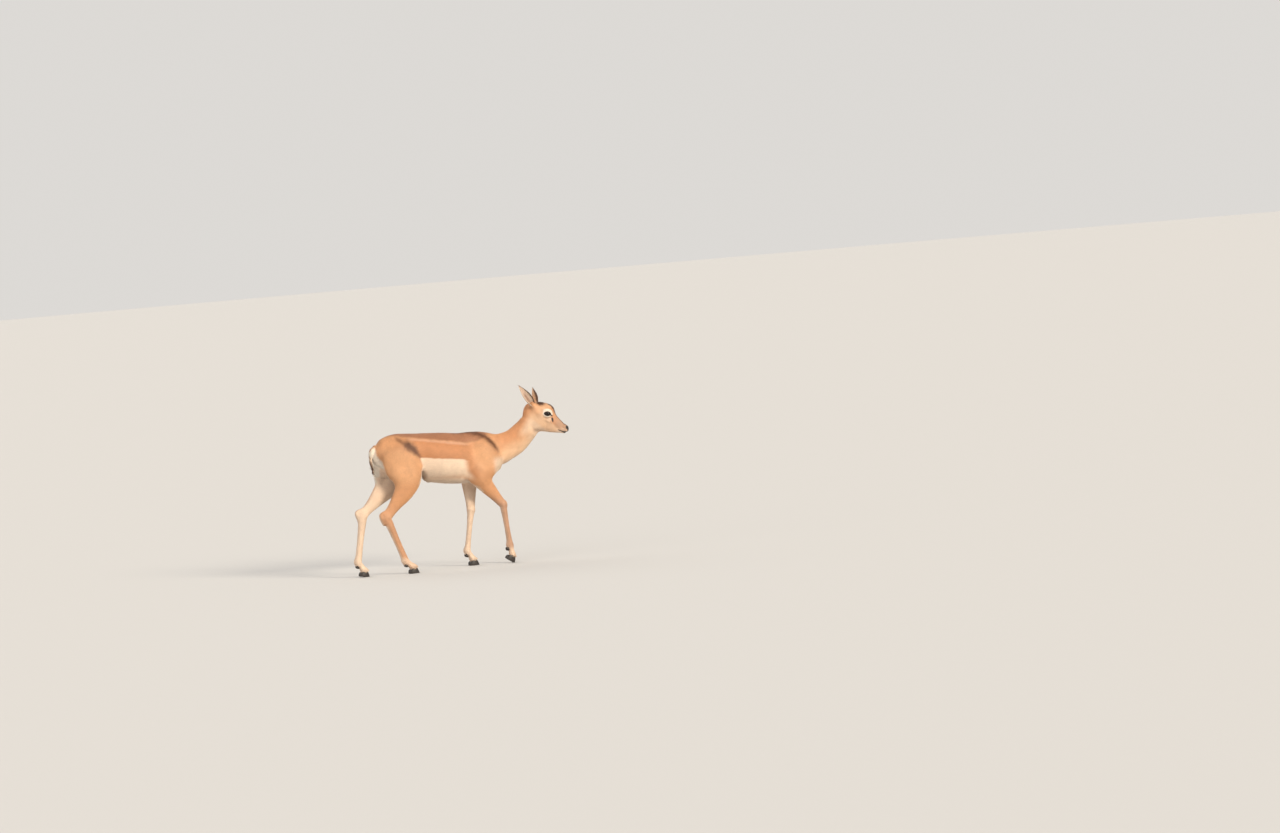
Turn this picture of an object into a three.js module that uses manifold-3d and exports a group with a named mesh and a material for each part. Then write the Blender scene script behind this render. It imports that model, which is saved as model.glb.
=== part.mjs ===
// A young, hornless blackbuck in mid walk, life size, as a still museum model.
// Millimetres. X runs forward, Y to the animal's left and Z up, with all four feet on z = 0.
// The body is one smooth form, a blend of tapering sweeps, and each named piece is a closed
// mesh whose points are pushed out along rays until they meet that form.

import * as THREE from "three";
import { mergeVertices } from "three/addons/utils/BufferGeometryUtils.js";
import Module from "manifold-3d";

const wasm = await Module();
wasm.setup();

// Driving dimensions
const GAP = 0.3; // clearance between neighbouring pieces
const CENTRE = { x: 145.5, y: -13.9 }; // middle of the whole outline, seen from above
const FORE_BONES = { forearm: 163, cannon: 183, pastern: 41.5 };
const HIND_BONES = { gaskin: 226, cannon: 208, pastern: 41 };
const CORONET = { back: 27, up: 30 }; // pastern's foot joint, from the tip of a flat toe
const HEAD = { x: 504, y: -38, z: 655, turn: -26, nod: 30 }; // joint with the neck, degrees
const EYE = { along: 63, out: 31.5, up: 26.5, radius: 15.5 };
const EAR = { length: 119, width: 60, thickness: 3.2 };
const TAIL_THICKNESS = 9;

// Leans are in degrees from upright, going up the leg: forward is positive. toe is where the
// tip of the toe stands, out is how far from the middle, and pitch lifts the heel.
const LEGS = {
  fore_right: { side: -1, toe: 352, out: 50, pitch: 35, pastern: -9, cannon: -5, upper: -38 },
  fore_left: { side: 1, toe: 217, out: 45, pitch: 0, pastern: -30, cannon: 10.3, upper: 2.8 },
  hind_right: { side: -1, toe: -89, out: 50, pitch: 0, pastern: -47, cannon: -19.3, upper: 42 },
  hind_left: { side: 1, toe: -292, out: 48, pitch: 8, pastern: -32, cannon: 11, upper: 50 },
};

const LEFT = new THREE.Vector3(0, 1, 0);
const radians = THREE.MathUtils.degToRad;
const point = (x, y, z) => new THREE.Vector3(x, y, z);
const mix = (a, b, t) => a.clone().lerp(b, t);

// A station is a place on a centreline with the half sizes of the section there. A section
// is an ellipse, deep along the bend and wide across it; egg above 0 narrows its far side.
const station = (at, deep, wide, egg = 0) => ({ at, deep, wide, egg });
const SIZES = ["deep", "wide", "egg"];

function smoothBetween(before, from, to, after, t) {
  const slopeIn = (to - before) / 2;
  const slopeOut = (after - from) / 2;
  const bend = 2 * t ** 3 - 3 * t ** 2;
  return (1 + bend) * from - bend * to + (t ** 3 - 2 * t ** 2 + t) * slopeIn + (t ** 3 - t ** 2) * slopeOut;
}

class Sweep {
  static STEPS = 6;

  constructor(stations, side = LEFT) {
    this.stations = stations;
    this.side = side;
    this.last = stations.length - 1;
    const count = this.last * Sweep.STEPS;
    this.samples = Array.from({ length: count + 1 }, (_, i) => this.section(i / Sweep.STEPS));
    this.reach = new THREE.Box3().setFromPoints(this.samples.map((s) => s.at));
    this.reach.expandByScalar(Math.max(...this.samples.map((s) => Math.max(s.deep, s.wide))));
  }

  // The section at t, counted in stations, with its own directions: along, out and up.
  section(t) {
    const i = Math.min(Math.floor(t), this.last - 1);
    const s = [i - 1, i, i + 1, i + 2].map((k) => this.stations[THREE.MathUtils.clamp(k, 0, this.last)]);
    const between = (value) => smoothBetween(...s.map(value), t - i);
    const made = { at: point(between((q) => q.at.x), between((q) => q.at.y), between((q) => q.at.z)) };
    for (const size of SIZES) made[size] = between((q) => q[size]);
    const nudge = 0.02;
    const ahead = this.place(Math.min(t + nudge, this.last));
    made.along = ahead.sub(this.place(Math.max(t - nudge, 0))).normalize();
    made.out = this.side.clone().addScaledVector(made.along, -this.side.dot(made.along)).normalize();
    made.up = made.along.clone().cross(made.out);
    return made;
  }

  place(t) {
    const i = Math.min(Math.floor(t), this.last - 1);
    const s = [i - 1, i, i + 1, i + 2].map((k) => this.stations[THREE.MathUtils.clamp(k, 0, this.last)].at);
    return point(...["x", "y", "z"].map((axis) => smoothBetween(...s.map((q) => q[axis]), t - i)));
  }

  // Rough distance from p to the swept surface, below 0 inside it.
  distance(p) {
    let nearest = 0;
    let least = Infinity;
    this.samples.forEach((s, i) => {
      const d = s.at.distanceToSquared(p);
      if (d < least) [least, nearest] = [d, i];
    });
    let best = null;
    for (const i of [nearest - 1, nearest]) {
      if (i < 0 || i >= this.samples.length - 1) continue;
      const a = this.samples[i];
      const b = this.samples[i + 1];
      const step = b.at.clone().sub(a.at);
      const raw = p.clone().sub(a.at).dot(step) / step.lengthSq();
      const t = THREE.MathUtils.clamp(raw, 0, 1);
      const gap = p.distanceToSquared(a.at.clone().addScaledVector(step, t));
      if (!best || gap < best.gap) best = { a, b, t, gap, beyond: raw !== t };
    }
    const { a, b, t } = best;
    const blend = (size) => a[size] + (b[size] - a[size]) * t;
    const rel = p.clone().sub(mix(a.at, b.at, t));
    const [deep, wide, egg] = SIZES.map(blend);
    const up = rel.dot(mix(a.up, b.up, t)) / deep;
    const out = rel.dot(mix(a.out, b.out, t)) / (wide * (1 - egg * THREE.MathUtils.clamp(up, -1, 1)));
    const past = best.beyond ? rel.dot(mix(a.along, b.along, t)) / Math.min(deep, wide) : 0;
    const share = Math.hypot(up, out, past);
    return share < 1e-6 ? -Math.min(deep, wide) : rel.length() * (1 - 1 / share);
  }
}

class Ball {
  constructor(at, radii) {
    this.at = at;
    this.radii = radii;
    this.reach = new THREE.Box3(at.clone().sub(radii), at.clone().add(radii));
  }

  distance(p) {
    const rel = p.clone().sub(this.at);
    const share = rel.clone().divide(this.radii).length();
    return share < 1e-6 ? -this.radii.x : rel.length() * (1 - 1 / share);
  }
}

// A form with a hollow scooped out of it, and a soft edge where they meet
class Scooped {
  constructor(form, hollow, softness) {
    Object.assign(this, { form, hollow, softness, reach: form.reach });
  }

  distance(p) {
    const own = this.form.distance(p);
    const scoop = -this.hollow.distance(p);
    const overlap = Math.max(this.softness - Math.abs(own - scoop), 0) / this.softness;
    return Math.max(own, scoop) + (overlap * overlap * this.softness) / 4;
  }
}

// Joins forms with soft fillets. Each form has the softness, in mm, of its join to the rest.
class Blend {
  constructor() {
    this.forms = [];
    this.reach = new THREE.Box3();
  }

  add(form, softness) {
    this.forms.push({ form, softness });
    this.reach.union(form.reach);
    return form;
  }

  distance(p) {
    let d = 1e3;
    for (const { form, softness } of this.forms) {
      const far = form.reach.distanceToPoint(p);
      if (far > softness && far > d + softness) continue;
      const own = form.distance(p);
      const overlap = Math.max(softness - Math.abs(d - own), 0) / softness;
      d = Math.min(d, own) - (overlap * overlap * softness) / 4;
    }
    return d;
  }
}

// A form given in the head's own frame: X to the muzzle, Y left and Z to the brow.
const headFrame = new THREE.Matrix4()
  .makeTranslation(HEAD.x, HEAD.y, HEAD.z)
  .multiply(new THREE.Matrix4().makeRotationZ(radians(HEAD.turn)))
  .multiply(new THREE.Matrix4().makeRotationY(radians(HEAD.nod)));
const toHeadFrame = headFrame.clone().invert();
const inHead = (x, y, z) => point(x, y, z).applyMatrix4(headFrame);

class HeadForm {
  constructor(form) {
    this.form = form;
    this.reach = form.reach.clone().applyMatrix4(headFrame);
  }

  distance(p) {
    return this.form.distance(p.clone().applyMatrix4(toHeadFrame));
  }
}

// Trunk: heights of the top and bottom lines, and half widths, from tail root to breast
const TRUNK = {
  tailhead: { x: -236, top: 574, bottom: 516, wide: 21 },
  rump: { x: -208, top: 601, bottom: 478, wide: 47 },
  croup: { x: -150, top: 621, bottom: 450, wide: 66, egg: 0.1 },
  hips: { x: -95, top: 620, bottom: 430, wide: 71 },
  loin: { x: -30, top: 615, bottom: 405, wide: 72 },
  belly: { x: 60, top: 608, bottom: 383, wide: 81, egg: 0.12 },
  ribs: { x: 150, top: 598, bottom: 372, wide: 79, egg: 0.2 },
  withers: { x: 232, top: 597, bottom: 376, wide: 66, egg: 0.34 },
  shoulder: { x: 290, top: 583, bottom: 402, wide: 52, egg: 0.2 },
  breast: { x: 332, top: 556, bottom: 430, wide: 42 },
  keel: { x: 354, top: 528, bottom: 452, wide: 30 },
};

function makeTrunk() {
  const stations = Object.values(TRUNK).map(({ x, top, bottom, wide, egg = 0 }) =>
    station(point(x, 0, (top + bottom) / 2), (top - bottom) / 2, wide, egg),
  );
  return new Sweep(stations);
}

const makeNeck = () =>
  new Sweep([
    station(point(262, 0, 503), 78, 46),
    station(point(332, -3, 506), 69, 43),
    station(point(404, -12, 529), 62, 37),
    station(point(455, -24, 570), 56, 34),
    station(point(489, -34, 610), 50, 33),
    station(inHead(9, 0, 4), 43, 31),
    station(inHead(36, 0, 14), 36, 27),
  ]);

const makeTail = () =>
  new Sweep([
    station(point(-226, 0, 572), TAIL_THICKNESS, 13),
    station(point(-242, 0, 557), TAIL_THICKNESS, 13),
    station(point(-250, 0, 525), 0.9 * TAIL_THICKNESS, 12),
    station(point(-249, 0, 490), 0.7 * TAIL_THICKNESS, 10),
    station(point(-244, 0, 458), 0.4 * TAIL_THICKNESS, 5),
  ]);

// Shoulder blade and upper arm of one side, down to that leg's elbow
function makeShoulder(side, elbow) {
  const blade = new Sweep([
    station(point(224, 21 * side, 560), 35, 17),
    station(point(266, 46 * side, 507), 50, 23),
    station(point(306, 45 * side, 455), 37, 25),
  ]);
  const arm = new Sweep([
    station(point(304, 45 * side, 450), 36, 24),
    station(point(264, 51 * side, 424), 42, 26),
    station(elbow, 38, 23),
  ]);
  return [blade, arm];
}

const rise = (from, length, lean) =>
  point(from.x + length * Math.sin(radians(lean)), from.y, from.z + length * Math.cos(radians(lean)));

// The joints of one leg, worked out from the toe on the floor upwards
function legJoints(leg, bones) {
  const toe = point(leg.toe, leg.side * leg.out, leg.pitch ? -1.5 : 0);
  const turn = radians(leg.pitch);
  const coronet = point(
    toe.x - CORONET.back * Math.cos(turn) + CORONET.up * Math.sin(turn),
    toe.y,
    toe.z + CORONET.back * Math.sin(turn) + CORONET.up * Math.cos(turn),
  );
  const fetlock = rise(coronet, bones.pastern, leg.pastern);
  const cannonTop = rise(fetlock, bones.cannon, leg.cannon);
  const top = rise(cannonTop, bones.forearm ?? bones.gaskin, leg.upper);
  return { toe, coronet, fetlock, cannonTop, top };
}

// From the fetlock down, the same on every foot. bulk scales the hind feet up a little.
const footStations = ({ toe, coronet, fetlock }, bulk) => [
  station(fetlock.clone().add(point(-1, 0, 0)), 17.5 * bulk, 16.5 * bulk),
  station(mix(fetlock, coronet, 0.55), 13.5 * bulk, 14.5 * bulk),
  station(coronet, 16 * bulk, 17.5 * bulk),
  station(mix(coronet, toe, 0.34), 17 * bulk, 18 * bulk),
];

function makeForeLeg(leg) {
  const joints = legJoints(leg, FORE_BONES);
  const { fetlock, cannonTop: knee } = joints;
  const elbow = joints.top.clone();
  elbow.y = leg.side * 58;
  const stations = [
    station(mix(elbow, knee, -0.22).add(point(0, -6 * leg.side, 0)), 42, 23),
    station(elbow, 43, 25),
    station(mix(elbow, knee, 0.34), 34, 21),
    station(mix(elbow, knee, 0.7), 24, 17),
    station(mix(elbow, knee, 0.9), 20.5, 16.5),
    station(knee, 20, 18),
    station(mix(knee, fetlock, 0.14), 15.5, 14.5),
    station(mix(knee, fetlock, 0.5), 12.5, 11.5),
    station(mix(knee, fetlock, 0.85), 13.5, 12.5),
    ...footStations(joints, 1),
  ];
  const cuts = { upper: [0, 5.5], cannon: [5.5, 8.6], pastern: [8.6, 12] };
  return { joints: { ...joints, elbow }, sweep: new Sweep(stations), cuts };
}

function makeHindLeg(leg) {
  const joints = legJoints(leg, HIND_BONES);
  const { fetlock, cannonTop: hock, top: stifle } = joints;
  const inset = (p, y) => point(p.x, leg.side * y, p.z);
  const hip = point(-143, leg.side * 42, 548);
  const back = (p, by) => p.clone().add(point(-by, 0, 0));
  const massOfStifle = 18 + (stifle.x + 123) * 0.48; // the further forward, the more flesh behind it
  const stations = [
    station(hip, 74, 30),
    station(back(inset(mix(hip, stifle, 0.5), 46), 18), 86, 32),
    station(back(inset(stifle, 50), massOfStifle), 72, 32),
    station(back(inset(mix(stifle, hock, 0.32), 51), 13), 48, 26),
    station(back(inset(mix(stifle, hock, 0.64), 50), 7), 30, 19.5),
    station(back(inset(mix(stifle, hock, 0.87), 49), 3), 21.5, 15),
    station(hock, 24, 18),
    station(mix(hock, fetlock, 0.15), 19, 15.5),
    station(mix(hock, fetlock, 0.5), 15.5, 13),
    station(mix(hock, fetlock, 0.85), 15.5, 13.5),
    ...footStations(joints, 1.06),
  ];
  const cuts = { thigh: [0, 2.6], gaskin: [2.6, 6.45], cannon: [6.45, 9.6], pastern: [9.6, 13] };
  const heel = new Sweep([
    station(mix(stifle, hock, 0.55).add(point(-24, 0, 0)), 9, 8),
    station(mix(stifle, hock, 0.82).add(point(-22, 0, 4)), 8, 7.5),
    station(hock.clone().add(point(-26, 0, 15)), 8.5, 8.5),
    station(hock.clone().add(point(-16, 0, -22)), 8, 8.5),
  ]);
  // Fills the fold between the back of the thigh and the gaskin
  const ham = new Ball(point(stifle.x - 82, leg.side * 47, stifle.z + 16), point(24, 23, 36));
  return { joints, sweep: new Sweep(stations), cuts, heel, ham };
}

// The head in its own frame: a deep wedge, with brow, cheeks, nose pad and chin added
function makeHead() {
  const head = new Blend();
  const wedge = head.add(
    new Sweep([
      station(point(-14, 0, 6), 34, 31),
      station(point(16, 0, 5.5), 43, 35),
      station(point(44, 0, 1), 61, 36, -0.25),
      station(point(68, 0, -4.5), 58, 33, -0.3),
      station(point(92, 0, -7), 45.5, 28, -0.25),
      station(point(117, 0, -7.2), 35.3, 22, -0.12),
      station(point(140, 0, -6.5), 26.5, 18.5),
      station(point(156, 0, -5), 19, 16),
      station(point(163, 0, -4), 14, 14),
    ]),
    4,
  );
  head.add(new Ball(point(42, 0, 26), point(38, 34, 36)), 12);
  head.add(new Ball(point(158, 0, 5), point(15, 15.5, 11)), 8);
  head.add(new Ball(point(161, 0, -4), point(15.5, 13, 9)), 8);
  head.add(new Ball(point(153, 0, -18), point(17, 12, 8)), 8);
  for (const side of [-1, 1]) {
    head.add(new Ball(point(60, 30 * side, 29), point(22, 13.5, 19)), 12);
    head.add(new Ball(point(45, 21 * side, -27), point(30, 15, 32)), 14);
    head.add(new Sweep([
      station(point(3, 21 * side, 26), 19, 19),
      station(point(-14, 35 * side, 33), 16, 15),
    ]), 12);
  }
  return { head: new HeadForm(head), wedge };
}

// The whole animal as one blended form
const body = new Blend();
const limbs = Object.fromEntries(
  Object.entries(LEGS).map(([name, leg]) => [name, name.startsWith("fore") ? makeForeLeg(leg) : makeHindLeg(leg)]),
);
const trunk = makeTrunk();
body.add(new Scooped(trunk, new Ball(point(-76, 0, 405), point(63, 400, 63)), 14), 10);
for (const [name, limb] of Object.entries(limbs)) {
  if (limb.joints.elbow)
    for (const form of makeShoulder(LEGS[name].side, limb.joints.elbow)) body.add(form, 26);
  body.add(limb.sweep, 22);
  if (limb.heel) body.add(limb.heel, 12);
  if (limb.ham) body.add(limb.ham, 20);
}
const neck = body.add(makeNeck(), 34);
const { head, wedge } = makeHead();
body.add(head, 22);
const tail = makeTail();

// How far a ray from a point inside goes before it leaves a form
function rayLength(form, from, along, most) {
  const stride = 3;
  let inside = 0;
  let outside = most;
  for (let r = stride; r < most; r += stride) {
    if (form.distance(from.clone().addScaledVector(along, r)) > 0) {
      outside = r;
      break;
    }
    inside = r;
  }
  if (outside === most) return most;
  for (let i = 0; i < 9; i++) {
    const half = (inside + outside) / 2;
    if (form.distance(from.clone().addScaledVector(along, half)) > 0) outside = half;
    else inside = half;
  }
  return outside;
}

// Joins rings of points, each ring with as many, and closes both ends with a fan
function closedMesh(rings, start, end) {
  const sides = rings[0].length;
  const points = [start, ...rings.flat(), end];
  const index = [];
  const at = (ring, side) => 1 + ring * sides + (side % sides);
  for (let s = 0; s < sides; s++) {
    index.push(0, at(0, s + 1), at(0, s));
    for (let r = 0; r < rings.length - 1; r++) {
      index.push(at(r, s), at(r, s + 1), at(r + 1, s));
      index.push(at(r + 1, s), at(r, s + 1), at(r + 1, s + 1));
    }
    index.push(points.length - 1, at(rings.length - 1, s), at(rings.length - 1, s + 1));
  }
  let volume = 0;
  for (let i = 0; i < index.length; i += 3) {
    const [a, b, c] = index.slice(i, i + 3).map((k) => points[k]);
    volume += a.dot(b.clone().cross(c));
  }
  if (volume < 0) index.reverse();
  const geometry = new THREE.BufferGeometry().setFromPoints(points);
  return geometry.setIndex(index);
}

// A piece round one sweep, out to the blended form, but no more than allow past the sweep
function loft(sweep, { from = 0, to = sweep.last, rings, more = [], sides, allow, grow = 0, roundStart, roundEnd, frame }) {
  const form = frame ? { distance: (p) => body.distance(p.clone().applyMatrix4(frame)) } : body;
  const reach = (origin, along, limit) => {
    const own = rayLength(sweep, origin, along, limit);
    return rayLength(form, origin, along, own + allow) + grow;
  };
  const ring = (section, tilt) =>
    Array.from({ length: sides }, (_, i) => {
      const turn = (2 * Math.PI * i) / sides;
      const along = section.up.clone().multiplyScalar(section.deep * Math.cos(turn));
      along.addScaledVector(section.out, section.wide * Math.sin(turn)).normalize();
      along.multiplyScalar(Math.cos(tilt)).addScaledVector(section.along, Math.sin(tilt));
      return section.at.clone().addScaledVector(along, reach(section.at, along, 2 * section.deep));
    });
  const first = sweep.section(from);
  const last = sweep.section(to);
  const made = [];
  const tilts = [60, 30].map(radians);
  if (roundStart) for (const tilt of tilts) made.push(ring(first, -tilt));
  const places = Array.from({ length: rings }, (_, i) => from + ((to - from) * i) / (rings - 1));
  for (const [i, t] of [...places, ...more].sort((a, b) => a - b).entries()) {
    const section = sweep.section(t);
    if (i === 0) section.at.addScaledVector(section.along, -grow);
    made.push(ring(section, 0));
  }
  if (roundEnd) for (const tilt of tilts.reverse()) made.push(ring(last, tilt));
  const middle = (points) => points.reduce((sum, p) => sum.add(p), point(0, 0, 0)).divideScalar(sides);
  const pole = (section, sign) => {
    const along = section.along.clone().multiplyScalar(sign);
    return section.at.clone().addScaledVector(along, reach(section.at, along, 3 * section.deep));
  };
  const start = roundStart ? pole(first, -1) : middle(made[0]);
  const end = roundEnd ? pole(last, 1) : middle(made.at(-1));
  return closedMesh(made, start, end);
}

// Joining and cutting
function solid(geometry) {
  const plain = geometry.clone();
  plain.deleteAttribute("normal");
  plain.deleteAttribute("uv");
  const merged = mergeVertices(plain, 1e-4);
  return new wasm.Manifold(
    new wasm.Mesh({
      numProp: 3,
      vertProperties: merged.attributes.position.array,
      triVerts: new Uint32Array(merged.index.array),
    }),
  );
}

function geometryOf(made) {
  const slack = 0.12;
  const biggest = made.simplify(slack).decompose().sort((a, b) => b.volume() - a.volume())[0];
  const mesh = biggest.getMesh();
  const geometry = new THREE.BufferGeometry();
  geometry.setAttribute("position", new THREE.BufferAttribute(mesh.vertProperties, 3));
  return geometry.setIndex(new THREE.BufferAttribute(mesh.triVerts, 1));
}

// A big block on the far side of the plane through at, in the direction of facing
function block(at, facing) {
  const size = 900;
  const turn = new THREE.Quaternion().setFromUnitVectors(point(0, 0, 1), facing.clone().normalize());
  const made = new THREE.BoxGeometry(size, size, size).translate(0, 0, size / 2);
  return solid(made.applyQuaternion(turn).translate(at.x, at.y, at.z));
}

// Materials
const coat = new THREE.MeshStandardMaterial({ color: 0xc98d5b, roughness: 0.85 });
const paleCoat = new THREE.MeshStandardMaterial({ color: 0xe6cfae, roughness: 0.85 });
const hoofHorn = new THREE.MeshStandardMaterial({ color: 0x1e1815, roughness: 0.45 });
const eyeGlaze = new THREE.MeshStandardMaterial({ color: 0x120c08, roughness: 0.08 });

const blackbuck = new THREE.Group();
function addNode(name, geometry, material) {
  const mesh = new THREE.Mesh(geometry, material.clone());
  mesh.name = name;
  blackbuck.add(mesh);
}

// One claw of a cloven hoof: a slanting wall between the sole and a raised coronet. It is made
// for a flat foot with its toe at the origin, then pitched, and what is under the floor is cut.
const CLAW = { length: 45, halfWidth: 8.6, out: 9.6, sides: 12 };
const claw = { top: { back: 29, rise: 23.5, slope: 26.5 } };

function clawRing(level) {
  return Array.from({ length: CLAW.sides }, (_, i) => {
    const turn = (2 * Math.PI * i) / CLAW.sides;
    const reachOut = THREE.MathUtils.lerp(CLAW.length / 2, 15, level);
    const centre = THREE.MathUtils.lerp(-CLAW.length / 2, -claw.top.back, level);
    const taper = THREE.MathUtils.lerp(1 - 0.42 * Math.cos(turn), 1 - 0.12 * Math.cos(turn), level);
    const bulge = 1 + 0.35 * level * (1 - level);
    const rise = level * (claw.top.rise + Math.tan(radians(claw.top.slope)) * 15 * Math.cos(turn));
    return point(
      centre + bulge * reachOut * Math.cos(turn),
      0.86 * bulge * taper * CLAW.halfWidth * Math.sin(turn),
      rise,
    );
  });
}

function footPlacement(leg, toe) {
  return new THREE.Matrix4()
    .makeTranslation(toe.x, toe.y, toe.z)
    .multiply(new THREE.Matrix4().makeRotationY(radians(leg.pitch)));
}

function makeClaw(leg, toe, outward) {
  const rings = [0, 0.35, 0.7, 1].map(clawRing);
  const top = point(-claw.top.back, 0, claw.top.rise);
  const made = closedMesh(rings, point(-CLAW.length / 2, 0, 0), top).translate(0, outward * CLAW.out, 0);
  made.applyMatrix4(footPlacement(leg, toe));
  if (!leg.pitch) return made;
  return geometryOf(solid(made).subtract(block(point(0, 0, 0), point(0, 0, -1))));
}

// What lies under a foot's coronet, to be cut from its pastern
function belowCoronet(leg, toe) {
  const place = footPlacement(leg, toe);
  const slope = radians(claw.top.slope);
  const down = point(Math.sin(slope), 0, -Math.cos(slope));
  const at = point(-claw.top.back, 0, claw.top.rise).addScaledVector(down, -GAP);
  return block(at.applyMatrix4(place), down.transformDirection(place));
}

function makeDewclaw(joints, outward) {
  const down = joints.coronet.clone().sub(joints.fetlock).normalize();
  const backward = point(down.z, 0, -down.x);
  const at = mix(joints.fetlock, joints.coronet, 0.34).addScaledVector(backward, 16);
  const made = new THREE.SphereGeometry(1, 8, 5).scale(6, 5, 8.5);
  const turn = new THREE.Quaternion().setFromUnitVectors(point(0, 0, -1), down);
  return made.applyQuaternion(turn).translate(at.x, at.y + outward * 9, at.z);
}

// Legs
const LIMB_LOOK = {
  upper: { rings: 9, sides: 14, allow: 9 },
  thigh: { rings: 8, sides: 14, allow: 9 },
  gaskin: { rings: 10, sides: 12, allow: 12 },
  cannon: { rings: 9, sides: 10, allow: 12 },
  pastern: { rings: 6, sides: 12, allow: 12 },
};

// One piece of a leg, cut square to the leg at both ends, or grow mm bigger all round
function limbPiece({ sweep, cuts }, part, grow = 0) {
  const [from, to] = cuts[part];
  const beyond = 0.2;
  const start = Math.max(from - beyond, 0);
  const end = Math.min(to + beyond, sweep.last);
  let made = solid(loft(sweep, { ...LIMB_LOOK[part], from: start, to: end, grow }));
  for (const [t, sign] of [[from, -1], [to, 1]]) {
    if (t === 0 || t === sweep.last) continue;
    const { at, along } = sweep.section(t);
    const outward = along.multiplyScalar(sign);
    made = made.subtract(block(at.addScaledVector(outward, grow - GAP / 2), outward));
  }
  return made;
}

const inflatedTops = [];
for (const [name, limb] of Object.entries(limbs)) {
  const leg = LEGS[name];
  for (const part of Object.keys(limb.cuts)) {
    let made = limbPiece(limb, part);
    if (["upper", "thigh", "gaskin"].includes(part)) inflatedTops.push(limbPiece(limb, part, 3 * GAP), made);
    if (part === "pastern") made = made.subtract(belowCoronet(leg, limb.joints.toe));
    addNode(`${name}_${part}`, geometryOf(made), part === "pastern" ? paleCoat : coat);
  }
  const shank = [limbPiece(limb, "cannon", GAP), limbPiece(limb, "pastern", GAP)];
  for (const [where, outward] of [["outer", leg.side], ["inner", -leg.side]]) {
    addNode(`${name}_hoof_${where}`, makeClaw(leg, limb.joints.toe, outward), hoofHorn);
    const dewclaw = solid(makeDewclaw(limb.joints, outward));
    addNode(`${name}_dewclaw_${where}`, geometryOf(shank.reduce((d, s) => d.subtract(s), dewclaw)), hoofHorn);
  }
}

// Tail, hung from the trunk's end
const tailShape = { rings: 10, sides: 10, allow: 0, roundStart: true, roundEnd: true };
const tailForm = (grow) => {
  const forms = body.forms;
  body.forms = [{ form: tail, softness: 1 }];
  const made = loft(tail, { ...tailShape, grow });
  body.forms = forms;
  return made;
};
addNode("tail", tailForm(0), coat);

// Trunk and neck, parted by a plane that leans back from the withers to the breast
const neckSeam = { at: point(338, -4, 508), facing: point(0.93, -0.05, 0.36) };
const trunkShape = { rings: 18, more: [3.95, 4.1, 4.34], sides: 18, allow: 16, roundStart: true, roundEnd: true };
let trunkSolid = solid(loft(trunk, trunkShape));
for (const top of inflatedTops) trunkSolid = trunkSolid.subtract(top);
trunkSolid = trunkSolid.subtract(solid(tailForm(GAP)));
trunkSolid = trunkSolid.subtract(block(neckSeam.at, neckSeam.facing));
addNode("trunk", geometryOf(trunkSolid), coat);

// Head, on a frame of its own, parted from the neck from the poll to the throat
const headSeam = { at: inHead(3, 0, -6), facing: point(0.862, 0, 0.508).transformDirection(headFrame) };
const neckShape = { rings: 15, sides: 18, allow: 20 };
let neckSolid = solid(loft(neck, neckShape));
neckSolid = neckSolid.intersect(block(neckSeam.at.clone().addScaledVector(neckSeam.facing, GAP), neckSeam.facing));
neckSolid = neckSolid.subtract(block(headSeam.at, headSeam.facing));
for (const top of inflatedTops) neckSolid = neckSolid.subtract(top);
addNode("neck", geometryOf(neckSolid), coat);

const headShape = { rings: 20, sides: 22, allow: 26, roundStart: true, roundEnd: true, frame: headFrame };
const wholeHead = (grow) => solid(loft(wedge, { ...headShape, grow }).applyMatrix4(headFrame));
const eyeball = (side, grow) => {
  const at = inHead(EYE.along, side * EYE.out, EYE.up);
  return new THREE.SphereGeometry(EYE.radius + grow, 14, 9).translate(at.x, at.y, at.z);
};
const behindFace = headSeam.at.clone().addScaledVector(headSeam.facing, GAP);
let headSolid = wholeHead(0).intersect(block(behindFace, headSeam.facing));

// One ear: a leaf rolled about its length, open forward and outward, closed all round
const EARS = {
  left: { side: 1, lean: point(-0.375, 0.785, 0.488) },
  right: { side: -1, lean: point(-0.708, -0.453, 0.543) },
};

function makeEar({ side, lean }) {
  const rows = 11;
  const columns = 8;
  const along = lean.clone().normalize();
  const root = point(-9, 30 * side, 29);
  const opening = point(0.55, 0.72 * side, 0.42);
  opening.addScaledVector(along, -opening.dot(along)).normalize();
  const across = along.clone().cross(opening);
  const surface = (row, column, layer) => {
    const t = row / (rows - 1);
    const swell = Math.sin(Math.PI * (0.08 + 0.84 * t) ** 0.8);
    const width = EAR.width * (0.3 + 0.7 * swell) * (1 - t ** 2.2) ** 0.6;
    const curl = radians(THREE.MathUtils.lerp(125, 50, t ** 0.6));
    const radius = Math.max(width, 3) / (2 * curl);
    const angle = curl * ((2 * column) / (columns - 1) - 1);
    const thick = EAR.thickness * THREE.MathUtils.lerp(1, 0.6, t) * (1 - 0.3 * Math.abs(angle / curl));
    const r = radius + (layer ? -thick : 0);
    return root
      .clone()
      .addScaledVector(along, t * EAR.length)
      .addScaledVector(opening, radius * 0.5 - r * Math.cos(angle) - 10 * t * t)
      .addScaledVector(across, r * Math.sin(angle));
  };
  const rings = Array.from({ length: rows }, (_, row) => {
    const outside = Array.from({ length: columns }, (_, c) => surface(row, c, 0));
    const inside = Array.from({ length: columns }, (_, c) => surface(row, columns - 1 - c, 1));
    return [...outside, ...inside];
  });
  const middle = (points) => mix(points[3], points[11], 0.5);
  const tip = middle(rings.at(-1)).addScaledVector(along, 2);
  return closedMesh(rings, middle(rings[0]), tip).applyMatrix4(headFrame);
}

const fullHead = wholeHead(GAP);
for (const [name, ear] of Object.entries(EARS))
  addNode(`ear_${name}`, geometryOf(solid(makeEar(ear)).subtract(fullHead)), coat);
for (const [name, side] of [["left", 1], ["right", -1]]) {
  addNode(`eye_${name}`, eyeball(side, 0), eyeGlaze);
  headSolid = headSolid.subtract(solid(eyeball(side, GAP)));
}
addNode("head", geometryOf(headSolid), coat);

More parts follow.
